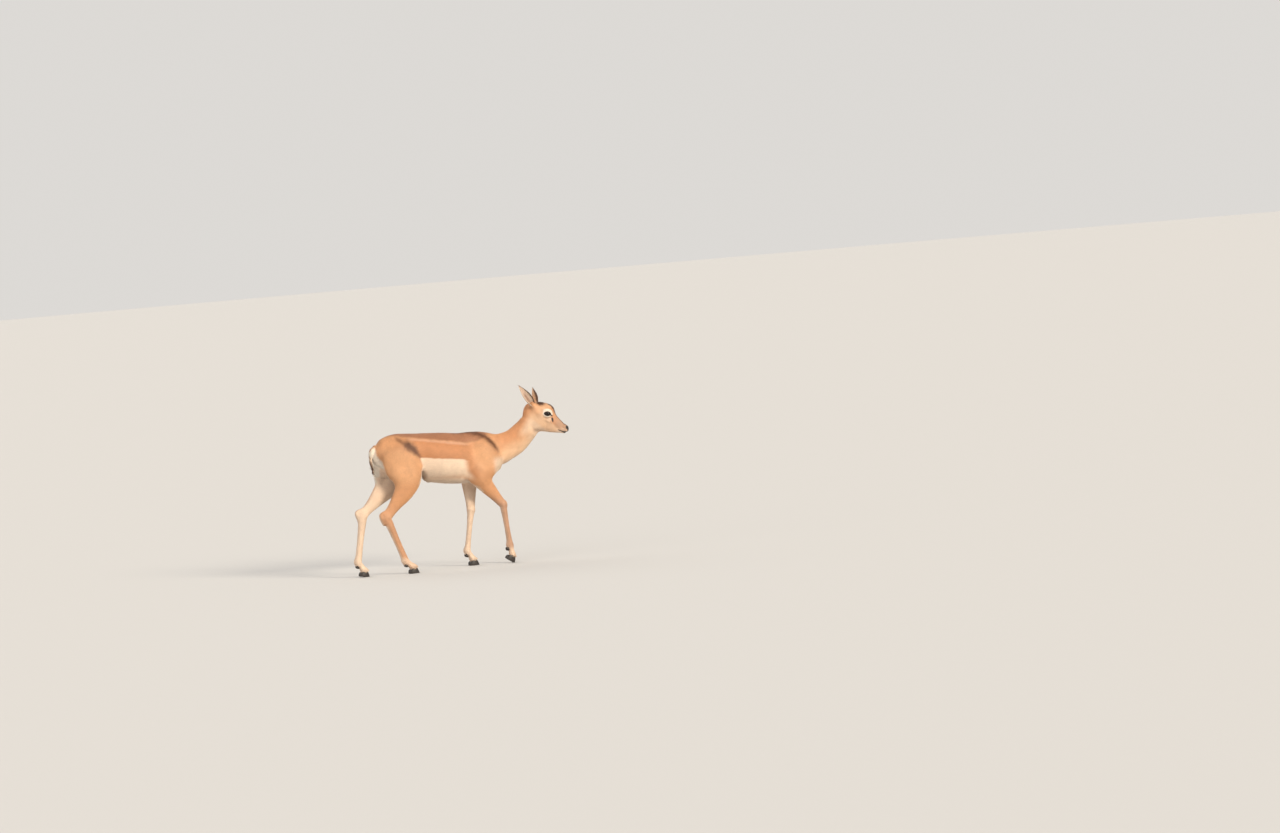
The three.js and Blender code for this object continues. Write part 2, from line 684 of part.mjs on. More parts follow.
blackbuck.position.set(-CENTRE.x, -CENTRE.y, 0);
export default blackbuck;
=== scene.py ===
"""A young blackbuck as a life-size still model: skin, coat, eyes and hooves over the CAD frame.

Shapes are worked out in millimetres, X forward, Y to the animal's left and Z up, and moved to
the CAD's origin and to metres when a mesh is made. The body is the CAD's own blended form.
"""

import math

import bmesh
import bpy
import numpy as np
import openvdb
from mathutils import Matrix, Vector


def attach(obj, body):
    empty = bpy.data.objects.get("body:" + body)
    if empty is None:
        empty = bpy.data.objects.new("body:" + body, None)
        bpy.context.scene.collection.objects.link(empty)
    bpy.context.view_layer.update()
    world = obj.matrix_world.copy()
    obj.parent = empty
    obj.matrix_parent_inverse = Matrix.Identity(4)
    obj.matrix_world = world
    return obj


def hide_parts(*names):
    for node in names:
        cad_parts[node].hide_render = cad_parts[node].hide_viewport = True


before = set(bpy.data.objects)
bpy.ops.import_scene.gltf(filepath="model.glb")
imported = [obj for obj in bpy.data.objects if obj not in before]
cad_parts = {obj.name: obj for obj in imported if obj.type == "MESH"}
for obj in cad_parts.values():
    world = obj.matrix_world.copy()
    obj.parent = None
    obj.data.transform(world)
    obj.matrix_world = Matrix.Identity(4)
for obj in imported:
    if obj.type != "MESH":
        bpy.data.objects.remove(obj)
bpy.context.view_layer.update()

bl_info = {
    "name": "Young blackbuck",
    "version": (1, 0, 0),
    "blender": (4, 5, 0),
    "location": "View3D > Sidebar > Blackbuck",
    "description": "Builds the skin, coat, eyes and hooves of a young blackbuck",
    "category": "Object",
}

MM = 1000  # millimetres in a metre
CENTRE = np.array([145.5, -13.9, 0.0])  # the CAD's origin, mm
FORE_BONES = {"upper": 163, "cannon": 183, "pastern": 41.5}
HIND_BONES = {"upper": 226, "cannon": 208, "pastern": 41}
CORONET = {"back": 27, "up": 30}
HEAD = {"at": (504, -38, 655), "turn": -26, "nod": 30}
EYE = {"along": 63, "out": 31.5, "up": 26.5, "radius": 15.5, "slant": 20}
EYE_HALF = {"length": 14.2, "height": 8.4}  # of the opening
EAR = {"length": 119, "width": 60}
TAIL_THICKNESS = 9
CLAW = {"length": 45, "half_width": 8.6, "out": 9.6, "back": 29, "rise": 23.5, "slope": 26.5}
LEGS = {
    "fore_right": {"side": -1, "toe": 352, "out": 50, "pitch": 35, "leans": (-9, -5, -38)},
    "fore_left": {"side": 1, "toe": 217, "out": 45, "pitch": 0, "leans": (-30, 10.3, 2.8)},
    "hind_right": {"side": -1, "toe": -89, "out": 50, "pitch": 0, "leans": (-47, -19.3, 42)},
    "hind_left": {"side": 1, "toe": -292, "out": 48, "pitch": 8, "leans": (-32, 11, 50)},
}
REGIONS = ["trunk", "neck", "head", *LEGS, "tail", "ear_left", "ear_right"]
REGION = {name: number for number, name in enumerate(REGIONS)}
SKIN_BOX = (-370, -124, 6), (664, 96, 722)  # corners of the space that holds the skin
HEAD_BEGINS = (450, 0, 545)  # from here on the skin's mesh is fine
FLOOR_RINGS, FLOOR_SIDES = (0.0, 2.0, 6.0, 20.0, 60.0), 64  # radii in metres
WORLD = {"colour": (1.0, 0.97, 0.93), "strength": 0.72}
LIGHTS = {  # from where, strength, colour, and spread in degrees
    "key": ((1.6, -4.2, 1.75), 2.85, (1.0, 0.91, 0.76), 16),
    "fill": ((-4.0, -2.4, 1.7), 1.0, (1.0, 0.95, 0.9), 60),
    "rim": ((-1.5, 4.0, 3.2), 0.8, (1.0, 0.93, 0.84), 40),
}
SENSOR = 36  # width in mm
PHOTO = {  # in pixels, pixels a metre at the animal, degrees
    "size": (1280, 833), "feet": (435, 568), "scale": 225,
    "down": 4, "slant": 5, "heading": (0.276, 0.961),
}


def vec(*values):
    return np.array(values, dtype=float)


def mix(a, b, t):
    return a + (b - a) * t


def unit(v):
    return v / np.maximum(np.linalg.norm(v, axis=-1, keepdims=True), 1e-9)


def ramp(value, low, high):
    """0 below low and 1 above high, smooth between. low may be the larger."""
    t = np.clip((value - low) / (high - low), 0, 1)
    return t * t * (3 - 2 * t)


def larger(a, b, soft):
    """The larger of two distances, with the corner between them rounded."""
    return np.maximum(a, b) + np.maximum(soft - np.abs(a - b), 0) ** 2 / (4 * soft)


def between(value, low, high, soft):
    """1 between low and high, fading over soft on both sides of each."""
    return ramp(value, low - soft, low + soft) * ramp(value, high + soft, high - soft)


def noise(p, size, seed=0):
    """Smooth value noise from -1 to 1 with lumps about size mm across."""
    q = p / size + 31.7 * seed
    cell = np.floor(q).astype(np.int64)
    t = q - cell
    t = t * t * (3 - 2 * t)
    total = np.zeros(len(p))
    for corner in range(8):
        step = np.array([corner & 1, corner >> 1 & 1, corner >> 2 & 1])
        key = (cell + step) @ np.array([374761393, 668265263, 1442695041])
        key = (key ^ (key >> 13)) * 1274126177
        value = ((key ^ (key >> 16)) & 0xFFFF) / 32767.5 - 1
        total += value * np.prod(np.where(step, t, 1 - t), axis=1)
    return total


def line_distance(points, line):
    """Distance to a chain of straight pieces, and how far along the chain, 0 to 1."""
    best = np.full(len(points), 1e9)
    along = np.zeros(len(points))
    for i, (a, b) in enumerate(zip(line, line[1:])):
        a, b = np.array(a, float), np.array(b, float)
        t = np.clip((points - a) @ (b - a) / ((b - a) @ (b - a)), 0, 1)
        d = np.linalg.norm(points - a - t[:, None] * (b - a), axis=1)
        closer = d < best
        best[closer] = d[closer]
        along[closer] = ((i + t) / (len(line) - 1))[closer]
    return best, along


# Forms, as in the CAD, but with finer steps


class Form:
    """A shape between the corners low and high, whose distance is below 0 inside it."""

    def near(self, p, margin):
        return np.all((p > self.low - margin) & (p < self.high + margin), axis=1)


def station(at, deep, wide, egg=0.0):
    """A cross section: its middle, half depth and half width, and how much it narrows upward."""
    return np.array([*at, deep, wide, egg], dtype=float)


class Sweep(Form):
    """Cross sections joined along a smooth path."""

    STEPS = 9
    BLOCK = 60000  # points handled at once

    def __init__(self, stations, side=(0, 1, 0)):
        self.stations = np.array(stations)
        self.last = len(stations) - 1
        self.side = np.array(side, float)
        self.t = np.linspace(0, self.last, self.last * self.STEPS + 1)
        rows = self.smooth(self.t)
        self.at, self.sizes = rows[:, :3], rows[:, 3:]
        ahead = self.smooth(np.minimum(self.t + 0.02, self.last))
        behind = self.smooth(np.maximum(self.t - 0.02, 0))
        self.along = unit((ahead - behind)[:, :3])
        self.out = unit(self.side - (self.along @ self.side)[:, None] * self.along)
        self.up = np.cross(self.along, self.out)
        reach = self.sizes[:, :2].max()
        self.low, self.high = self.at.min(0) - reach, self.at.max(0) + reach

    def smooth(self, t):
        """The sections at the places t, counted in stations."""
        i = np.minimum(t.astype(int), self.last - 1)
        rows = [self.stations[np.clip(i + k, 0, self.last)] for k in (-1, 0, 1, 2)]
        f = (t - i)[:, None]
        bend = 2 * f**3 - 3 * f**2
        slopes = (rows[2] - rows[0]) / 2, (rows[3] - rows[1]) / 2
        ends = (1 + bend) * rows[1] - bend * rows[2]
        return ends + (f**3 - 2 * f**2 + f) * slopes[0] + (f**3 - f**2) * slopes[1]

    def locate(self, p):
        """For each point: distance, place along in stations, angle round, and direction."""
        nearest = np.empty(len(p), int)
        half = (self.at**2).sum(1) / 2
        for start in range(0, len(p), self.BLOCK):
            part = slice(start, start + self.BLOCK)
            nearest[part] = np.argmin(half - p[part] @ self.at.T, axis=1)
        # Between the planes square to the path at a step's ends, so that the place runs on evenly
        last = len(self.at) - 2
        passed = ((p - self.at[nearest]) * self.along[nearest]).sum(1) > 0
        i = np.clip(nearest - 1 + passed, 0, last)
        begun = ((p - self.at[i]) * self.along[i]).sum(1)
        left = -((p - self.at[i + 1]) * self.along[i + 1]).sum(1)
        t = np.clip(begun / np.maximum(begun + left, 1e-6), 0, 1)
        beyond = ((i == 0) & (begun < 0)) | ((i == last) & (left < 0))
        t = np.where(left < 0, 1.0, np.where(begun < 0, 0.0, t))
        f = t[:, None]
        rel = p - mix(self.at[i], self.at[i + 1], f)
        deep, wide, egg = mix(self.sizes[i], self.sizes[i + 1], f).T
        along = mix(self.along[i], self.along[i + 1], f)
        up = (rel * mix(self.up[i], self.up[i + 1], f)).sum(1) / deep
        out = (rel * mix(self.out[i], self.out[i + 1], f)).sum(1)
        out = out / (wide * (1 - egg * np.clip(up, -1, 1)))
        past = np.where(beyond, (rel * along).sum(1) / np.minimum(deep, wide), 0)
        share = np.maximum(np.sqrt(up**2 + out**2 + past**2), 1e-6)
        d = np.linalg.norm(rel, axis=1) * (1 - 1 / share)
        return d, self.t[i] + t / self.STEPS, np.arctan2(out, up), along

    def distance(self, p):
        return self.locate(p)[0]


class Ball(Form):
    """An ellipsoid."""

    def __init__(self, at, radii):
        self.at, self.radii = np.array(at, float), np.array(radii, float)
        self.low, self.high = self.at - self.radii, self.at + self.radii

    def distance(self, p):
        rel = p - self.at
        share = np.maximum(np.linalg.norm(rel / self.radii, axis=1), 1e-6)
        return np.linalg.norm(rel, axis=1) * (1 - 1 / share)


class Scooped(Form):
    """A form with a smooth hollow taken out of it."""

    def __init__(self, form, hollow, softness):
        self.form, self.hollow, self.softness = form, hollow, softness
        self.low, self.high = form.low, form.high

    def distance(self, p):
        return larger(self.form.distance(p), -self.hollow.distance(p), self.softness)


class Blend:
    """Forms that flow into each other, each over its own softness."""

    def __init__(self):
        self.forms = []

    def add(self, form, softness):
        self.forms.append((form, softness))
        return form

    def near(self, p, margin):
        return np.any([form.near(p, margin) for form, _ in self.forms], axis=0)

    def distance(self, p):
        d = np.full(len(p), 60.0)
        for form, soft in self.forms:
            pick = np.flatnonzero(form.near(p, soft + 5))
            if len(pick):
                own = form.distance(p[pick])
                overlap = np.maximum(soft - np.abs(d[pick] - own), 0) / soft
                d[pick] = np.minimum(d[pick], own) - overlap**2 * soft / 4
        return d


def turn_about(axis, degrees):
    """The matrix of a turn about the y or z axis."""
    c, s = math.cos(math.radians(degrees)), math.sin(math.radians(degrees))
    if axis == "y":
        return np.array([[c, 0, s], [0, 1, 0], [-s, 0, c]])
    return np.array([[c, -s, 0], [s, c, 0], [0, 0, 1]])


HEAD_TURN = turn_about("z", HEAD["turn"]) @ turn_about("y", HEAD["nod"])


def from_head(p):
    return np.asarray(p, float) @ HEAD_TURN.T + np.array(HEAD["at"], float)


def to_head(p):
    return (p - np.array(HEAD["at"], float)) @ HEAD_TURN


class HeadForm:
    """A form given in the head's own frame."""

    def __init__(self, form):
        self.form = form

    def near(self, p, margin):
        return self.form.near(to_head(p), margin)

    def distance(self, p):
        return self.form.distance(to_head(p))


TRUNK = {  # place along, top, bottom, half width and egg of each section
    "tailhead": (-236, 574, 516, 21, 0),
    "rump": (-208, 601, 478, 47, 0),
    "croup": (-150, 621, 450, 66, 0.1),
    "hips": (-95, 620, 430, 71, 0),
    "loin": (-30, 615, 405, 72, 0),
    "belly": (60, 608, 383, 81, 0.12),
    "ribs": (150, 598, 372, 79, 0.2),
    "withers": (232, 597, 376, 66, 0.34),
    "shoulder": (290, 583, 402, 52, 0.2),
    "breast": (332, 556, 430, 42, 0),
    "keel": (354, 528, 452, 30, 0),
}


def make_trunk():
    return Sweep([
        station((x, 0, (top + bottom) / 2), (top - bottom) / 2, wide, egg)
        for x, top, bottom, wide, egg in TRUNK.values()
    ])


def make_neck():
    return Sweep([
        station((262, 0, 503), 78, 46),
        station((332, -3, 506), 69, 43),
        station((404, -12, 529), 62, 37),
        station((455, -24, 570), 56, 34),
        station((489, -34, 610), 50, 33),
        station(from_head((9, 0, 4)), 43, 31),
        station(from_head((36, 0, 14)), 36, 27),
    ])


def make_tail():
    return Sweep([
        station((-226, 0, 572), TAIL_THICKNESS, 13),
        station((-242, 0, 557), TAIL_THICKNESS, 13),
        station((-250, 0, 525), 0.9 * TAIL_THICKNESS, 12),
        station((-249, 0, 490), 0.7 * TAIL_THICKNESS, 10),
        station((-244, 0, 458), 0.4 * TAIL_THICKNESS, 5),
    ])


def make_shoulder(side, elbow):
    """The shoulder blade and the upper arm."""
    blade = Sweep([
        station((224, 21 * side, 560), 35, 17),
        station((266, 46 * side, 507), 50, 23),
        station((306, 45 * side, 455), 37, 25),
    ])
    arm = Sweep([
        station((304, 45 * side, 450), 36, 24),
        station((264, 51 * side, 424), 42, 26),
        station(elbow, 38, 23),
    ])
    return [blade, arm]


def leg_joints(leg, bones):
    """Toe, coronet, fetlock, knee or hock, and the top of the leg."""
    pitch = math.radians(leg["pitch"])
    toe = vec(leg["toe"], leg["side"] * leg["out"], -1.5 if pitch else 0)
    coronet = toe + vec(
        -CORONET["back"] * math.cos(pitch) + CORONET["up"] * math.sin(pitch),
        0,
        CORONET["back"] * math.sin(pitch) + CORONET["up"] * math.cos(pitch),
    )
    joints = [toe, coronet]
    for bone, lean in zip(("pastern", "cannon", "upper"), leg["leans"]):
        turn = math.radians(lean)
        joints.append(joints[-1] + bones[bone] * vec(math.sin(turn), 0, math.cos(turn)))
    return joints


def foot_stations(toe, coronet, fetlock, bulk):
    return [
        station(fetlock + vec(-1, 0, 0), 17.5 * bulk, 16.5 * bulk),
        station(mix(fetlock, coronet, 0.55), 13.5 * bulk, 14.5 * bulk),
        station(coronet, 16 * bulk, 17.5 * bulk),
        station(mix(coronet, toe, 0.34), 17 * bulk, 18 * bulk),
    ]


def make_fore_leg(leg):
    side = leg["side"]
    toe, coronet, fetlock, knee, top = leg_joints(leg, FORE_BONES)
    elbow = vec(top[0], side * 58, top[2])
    sweep = Sweep([
        station(mix(elbow, knee, -0.22) - vec(0, 6 * side, 0), 42, 23),
        station(elbow, 43, 25),
        station(mix(elbow, knee, 0.34), 34, 21),
        station(mix(elbow, knee, 0.7), 24, 17),
        station(mix(elbow, knee, 0.9), 20.5, 16.5),
        station(knee, 20, 18),
        station(mix(knee, fetlock, 0.14), 15.5, 14.5),
        station(mix(knee, fetlock, 0.5), 12.5, 11.5),
        station(mix(knee, fetlock, 0.85), 13.5, 12.5),
        *foot_stations(toe, coronet, fetlock, 1),
    ])
    joints = [toe, coronet, fetlock, knee, elbow]
    return {"sweep": sweep, "joints": joints, "extra": make_shoulder(side, elbow)}


def make_hind_leg(leg):
    side = leg["side"]
    toe, coronet, fetlock, hock, stifle = leg_joints(leg, HIND_BONES)

    def inset(p, y, back=0.0):
        return vec(p[0] - back, side * y, p[2])

    hip = vec(-143, side * 42, 548)
    flesh = 18 + (stifle[0] + 123) * 0.48
    sweep = Sweep([
        station(hip, 74, 30),
        station(inset(mix(hip, stifle, 0.5), 46, 18), 86, 32),
        station(inset(stifle, 50, flesh), 72, 32),
        station(inset(mix(stifle, hock, 0.32), 51, 13), 48, 26),
        station(inset(mix(stifle, hock, 0.64), 50, 7), 30, 19.5),
        station(inset(mix(stifle, hock, 0.87), 49, 3), 21.5, 15),
        station(hock, 24, 18),
        station(mix(hock, fetlock, 0.15), 19, 15.5),
        station(mix(hock, fetlock, 0.5), 15.5, 13),
        station(mix(hock, fetlock, 0.85), 15.5, 13.5),
        *foot_stations(toe, coronet, fetlock, 1.06),
    ])
    heel = Sweep([
        station(mix(stifle, hock, 0.55) - vec(24, 0, 0), 9, 8),
        station(mix(stifle, hock, 0.82) + vec(-22, 0, 4), 8, 7.5),
        station(hock + vec(-26, 0, 15), 8.5, 8.5),
        station(hock + vec(-16, 0, -22), 8, 8.5),
    ])
    ham = Ball((stifle[0] - 82, 47 * side, stifle[2] + 16), (24, 23, 36))
    return {"sweep": sweep, "joints": [toe, coronet, fetlock, hock, stifle], "heel": heel, "ham": ham}


def make_head():
    head = Blend()
    wedge = head.add(Sweep([
        station((-14, 0, 6), 34, 31),
        station((16, 0, 5.5), 43, 35),
        station((44, 0, 1), 61, 36, -0.25),
        station((68, 0, -4.5), 58, 33, -0.3),
        station((92, 0, -7), 45.5, 28, -0.25),
        station((117, 0, -7.2), 35.3, 22, -0.12),
        station((140, 0, -6.5), 26.5, 18.5),
        station((156, 0, -5), 19, 16),
        station((163, 0, -4), 14, 14),
    ]), 4)
    head.add(Ball((42, 0, 26), (40, 34, 36)), 24)
    head.add(Ball((158, 0, 5), (15, 15.5, 11)), 8)
    head.add(Ball((161, 0, -4), (15.5, 13, 9)), 8)
    head.add(Ball((153, 0, -18), (17, 12, 8)), 8)
    for side in (-1, 1):
        head.add(Ball((60, 30 * side, 29), (22, 13.5, 19)), 12)
        head.add(Ball((45, 21 * side, -27), (30, 15, 32)), 14)
        ear_root = [station((3, 21 * side, 26), 19, 19), station((-14, 35 * side, 33), 16, 15)]
        head.add(Sweep(ear_root), 12)
        lid = EYE["radius"] + 2.9
        head.add(Ball((EYE["along"], side * EYE["out"], EYE["up"]), (lid, lid, lid)), 5)
    return head, wedge


# The whole animal, in the CAD's order
body = Blend()
limbs = {name: (make_fore_leg if "fore" in name else make_hind_leg)(leg) for name, leg in LEGS.items()}
trunk = make_trunk()
body.add(Scooped(trunk, Ball((-76, 0, 405), (63, 400, 63)), 14), 10)
for limb in limbs.values():
    for form in limb.get("extra", []):
        body.add(form, 26)
    body.add(limb["sweep"], 22)
    if "heel" in limb:
        body.add(limb["heel"], 12)
        body.add(limb["ham"], 20)
neck = body.add(make_neck(), 34)
head_blend, wedge = make_head()
body.add(HeadForm(head_blend), 22)
tail = body.add(make_tail(), 7)

# Hollows, or with a minus sign swellings, in the skin: place, reach and depth, on both sides
BODY_RELIEF = {
    "flank": ((-32, 76, 505), (34, 34, 48), 5),
    "hip bone": ((-100, 52, 596), (22, 20, 18), -3),
    "croup dip": ((-178, 40, 606), (26, 20, 20), 2),
    "back of haunch": ((-190, 66, 470), (9, 26, 55), 2.5),
    "front of haunch": ((-52, 78, 455), (10, 26, 44), 2),
    "neck and shoulder": ((318, 46, 520), (14, 26, 60), 2.5),
    "behind shoulder": ((205, 76, 500), (16, 28, 62), 3),
    "shoulder point": ((318, 48, 452), (20, 16, 22), -2.5),
    "behind elbow": ((182, 70, 402), (18, 24, 22), 2.5),
    "jugular": ((400, 38, 505), (44, 12, 9), 1.5),
    "belly tuft": ((10, 0, 386), (7, 7, 10), -3),
}
HEAD_RELIEF = {
    "temple": ((32, 38, 28), (13, 12, 11), 2.5),
    "face crest": ((84, 30, -2), (24, 10, 5), -1.5),
    "below crest": ((96, 27, -18), (22, 10, 10), 1.6),
    "tear gland": ((93, 30, 13), (7, 12, 3.2), 2.2),
    "jaw edge": ((66, 26, -50), (28, 10, 6), -1.2),
    "jaw angle": ((24, 34, -40), (10, 14, 18), 1.8),
    "nose side": ((138, 19, 6), (16, 8, 8), 1.2),
    "nostril": ((169.5, 8.5, 5.5), (4.2, 3.6, 2.8), 6),
    "nostril tail": ((164, 13, 10), (4, 3, 1.7), 3),
    "upper lip": ((158, 14, -7), (14, 8, 4.5), -1.3),
    "lower lip": ((160, 11, -22), (12, 8, 4), -0.8),
}
MOUTH = [(139, -18), (150, -18), (164, -17), (178, -13.5)]


def relief(p, spots):
    """How deep the skin lies in all hollows together."""
    total = np.zeros(len(p))
    q = np.column_stack([p[:, 0], np.abs(p[:, 1]), p[:, 2]])
    for at, reach, depth in spots.values():
        share = (((q - np.array(at, float)) / np.array(reach, float)) ** 2).sum(1)
        pick = share < 6
        total[pick] += depth * np.exp(-share[pick])
    return total


def eye_frame(side):
    """An eye's middle, and the directions to its front corner, to its brow and out of the head."""
    out = unit(vec(0.24, side * 0.94, 0.18))
    slant = math.radians(EYE["slant"])
    ahead = vec(math.cos(slant), 0, math.sin(slant))
    ahead = unit(ahead - (ahead @ out) * out)
    above = np.cross(out, ahead) * (1 if side < 0 else -1)
    return np.array([EYE["along"], side * EYE["out"], EYE["up"]]), ahead, above * np.sign(above[2]), out


def lid_distance(q):
    """How far a place in the head's frame is from the edge of the eye's opening, and from the
    middle of its eye. Below 0 is in the opening."""
    side = np.where(q[:, 1] < 0, -1, 1)
    total = np.full(len(q), 99.0)
    radius = np.full(len(q), 99.0)
    length, height = EYE_HALF["length"], EYE_HALF["height"]
    arc = (length**2 + height**2) / (2 * height)
    for s in (-1, 1):
        pick = (side == s) & (np.abs(q[:, 0] - EYE["along"]) < 45)
        centre, ahead, above, out = eye_frame(s)
        rel = q[pick] - centre
        a, b, o = rel @ ahead, rel @ above, rel @ out
        rim = np.maximum(np.hypot(a, b + arc - height), np.hypot(a, b - arc + height)) - arc
        total[pick] = np.where(o > 0, rim, 99)
        radius[pick] = np.linalg.norm(rel, axis=1)
    return total, radius


def skin_distance(p, depths):
    """The finished skin, inside the CAD's form by the coat's depth."""
    q = to_head(p)
    on_head = ramp(q[:, 0], -12, 22) * ramp(p[:, 2], 540, 565)
    depth = mix(depths[0], depths[1], ramp(p[:, 2], 430, 330))
    depth = mix(depth, depths[2], on_head)
    depth = depth + 1.4 * ramp(p[:, 0], -232, -240) * ramp(p[:, 2], 420, 440)
    d = body.distance(p) + depth + relief(p, BODY_RELIEF)
    pick = np.flatnonzero((on_head > 0) & (np.abs(d) < 16))
    if len(pick):
        h = q[pick]
        extra = relief(h, HEAD_RELIEF)
        mouth_z = np.interp(h[:, 0], *np.array(MOUTH).T)
        extra += 1.7 * np.exp(-(((h[:, 2] - mouth_z) / 0.95) ** 2)) * ramp(h[:, 0], 136, 144)
        cleft = np.exp(-((h[:, 1] / 1.0) ** 2)) * between(h[:, 2], -11, 7, 2) * ramp(h[:, 0], 163, 168)
        rim, radius = lid_distance(h)
        fold = 0.9 * np.exp(-(((rim - 4.2) / 1.1) ** 2)) + 0.5 * np.exp(-(((rim - 7.5) / 1.2) ** 2))
        extra += 0.8 * cleft + fold * ramp(h[:, 2], EYE["up"] - 4, EYE["up"] + 4)
        opening = np.minimum(-rim, radius - EYE["radius"] + 1.3)
        d[pick] = larger(d[pick] + extra, opening, 1.0)
    for leg, limb in zip(LEGS.values(), limbs.values()):
        at, down = coronet_plane(leg, limb["joints"][0])
        foot = np.flatnonzero(np.linalg.norm(p - at, axis=1) < 70)
        d[foot] = np.maximum(d[foot], (p[foot] - at) @ down - 2.5)
    return d


def place_on_foot(points, leg, toe):
    """Moves points from a foot's own frame to its toe."""
    return points @ turn_about("y", leg["pitch"]).T + toe


def coronet_plane(leg, toe):
    """A point and the downward normal of the plane where hair ends and horn begins."""
    slope = math.radians(CLAW["slope"])
    down = vec(math.sin(slope), 0, -math.cos(slope))
    at = place_on_foot(vec(-CLAW["back"], 0, CLAW["rise"]), leg, toe)
    return at, turn_about("y", leg["pitch"]) @ down


def surface_of(form, low, high, pitch):
    """Quads on form's zero surface inside a box. pitch gives each axis's spacing at a place."""
    axes = []
    for axis in range(3):
        places = [low[axis]]
        while places[-1] < high[axis]:
            places.append(places[-1] + pitch(axis, places[-1]))
        axes.append(np.array(places))
    shape = tuple(len(a) for a in axes)
    field = np.empty(shape, np.float32)
    yz = np.array(np.meshgrid(axes[1], axes[2], indexing="ij")).reshape(2, -1).T
    most_points = 400000
    slab = max(1, most_points // len(yz))
    for start in range(0, shape[0], slab):
        xs = axes[0][start:start + slab]
        points = np.column_stack([np.repeat(xs, len(yz)), np.tile(yz, (len(xs), 1))])
        field[start:start + slab] = form(points).reshape(len(xs), *shape[1:])
    outside = 30.0
    grid = openvdb.FloatGrid(outside)
    grid.copyFromArray(field)
    points, quads = grid.convertToQuads(isovalue=0.0)
    points = np.asarray(points, float)
    places = np.column_stack([np.interp(points[:, k], np.arange(shape[k]), axes[k]) for k in range(3)])
    return places, np.asarray(quads)


def settle(form, p):
    """Moves points onto form's zero surface and gives its outward normals there."""
    rounds, most, step = 3, 1.2, 0.35
    for turn in range(rounds + 1):
        slope = np.empty_like(p)
        for axis in range(3):
            nudge = np.zeros(3)
            nudge[axis] = step
            slope[:, axis] = (form(p + nudge) - form(p - nudge)) / (2 * step)
        size = np.maximum(np.linalg.norm(slope, axis=1, keepdims=True), 0.3)
        if turn == rounds:
            return p, slope / size
        p = p - np.clip(form(p)[:, None] / size, -most, most) * slope / size


# Meshes


def new_object(name, points, faces, material):
    """A smooth mesh object, from mm in the body's frame to metres from the CAD's origin."""
    mesh = bpy.data.meshes.new(name)
    points = (np.asarray(points) - CENTRE) / MM
    sides = faces.shape[1]
    mesh.vertices.add(len(points))
    mesh.vertices.foreach_set("co", points.astype(np.float32).ravel())
    mesh.loops.add(faces.size)
    mesh.loops.foreach_set("vertex_index", faces.astype(np.int32).ravel())
    mesh.polygons.add(len(faces))
    mesh.polygons.foreach_set("loop_start", np.arange(0, faces.size, sides, dtype=np.int32))
    mesh.polygons.foreach_set("use_smooth", np.full(len(faces), True))
    mesh.update(calc_edges=True)
    mesh.materials.append(material)
    made = bpy.data.objects.new(name, mesh)
    bpy.context.scene.collection.objects.link(made)
    return made


def store(mesh, name, kind, values):
    """Keeps a value for each point of a mesh."""
    width = {"FLOAT_COLOR": "color", "FLOAT_VECTOR": "vector"}.get(kind, "value")
    layer = mesh.attributes.new(name, kind, "POINT")
    if kind == "FLOAT_COLOR":
        values = np.column_stack([values, np.ones(len(values))])
    dtype = np.int32 if kind == "INT" else np.float32
    layer.data.foreach_set(width, np.ascontiguousarray(values, dtype=dtype).ravel())


def fetch(items, key, width, kind=np.float32):
    """One value of every item, as rows."""
    values = np.empty(len(items) * width, kind)
    items.foreach_get(key, values)
    return values.reshape(-1, width).astype(int if kind == np.int32 else float)


def ring_mesh(rings):
    """Faces for rings of points with equal counts, closed at both ends by a middle point."""
    count, sides = len(rings), len(rings[0])
    points = np.vstack([rings.reshape(-1, 3), rings[0].mean(0), rings[-1].mean(0)])
    faces = []
    for r in range(count - 1):
        for s in range(sides):
            n = (s + 1) % sides
            a, b, c, d = r * sides + s, r * sides + n, (r + 1) * sides + n, (r + 1) * sides + s
            faces += [(a, b, c), (a, c, d)]
    for s in range(sides):
        n = (s + 1) % sides
        faces.append((count * sides, n, s))
        faces.append((count * sides + 1, (count - 1) * sides + s, (count - 1) * sides + n))
    faces = np.array(faces)
    a, b, c = points[faces[:, 0]], points[faces[:, 1]], points[faces[:, 2]]
    if (a * np.cross(b, c)).sum() < 0:
        faces = faces[:, ::-1]
    return points, faces


def join_meshes(parts):
    """One list of points and one of faces for several meshes."""
    points, faces, start = [], [], 0
    for p, f in parts:
        points.append(p)
        faces.append(f + start)
        start += len(p)
    return np.vstack(points), np.vstack(faces)


# Ears: a leaf rolled about its length. A place is (along, 1 at the front edge to -1, 1 inside)
EARS = {"left": (1, (-0.375, 0.785, 0.488)), "right": (-1, (-0.708, -0.453, 0.543))}


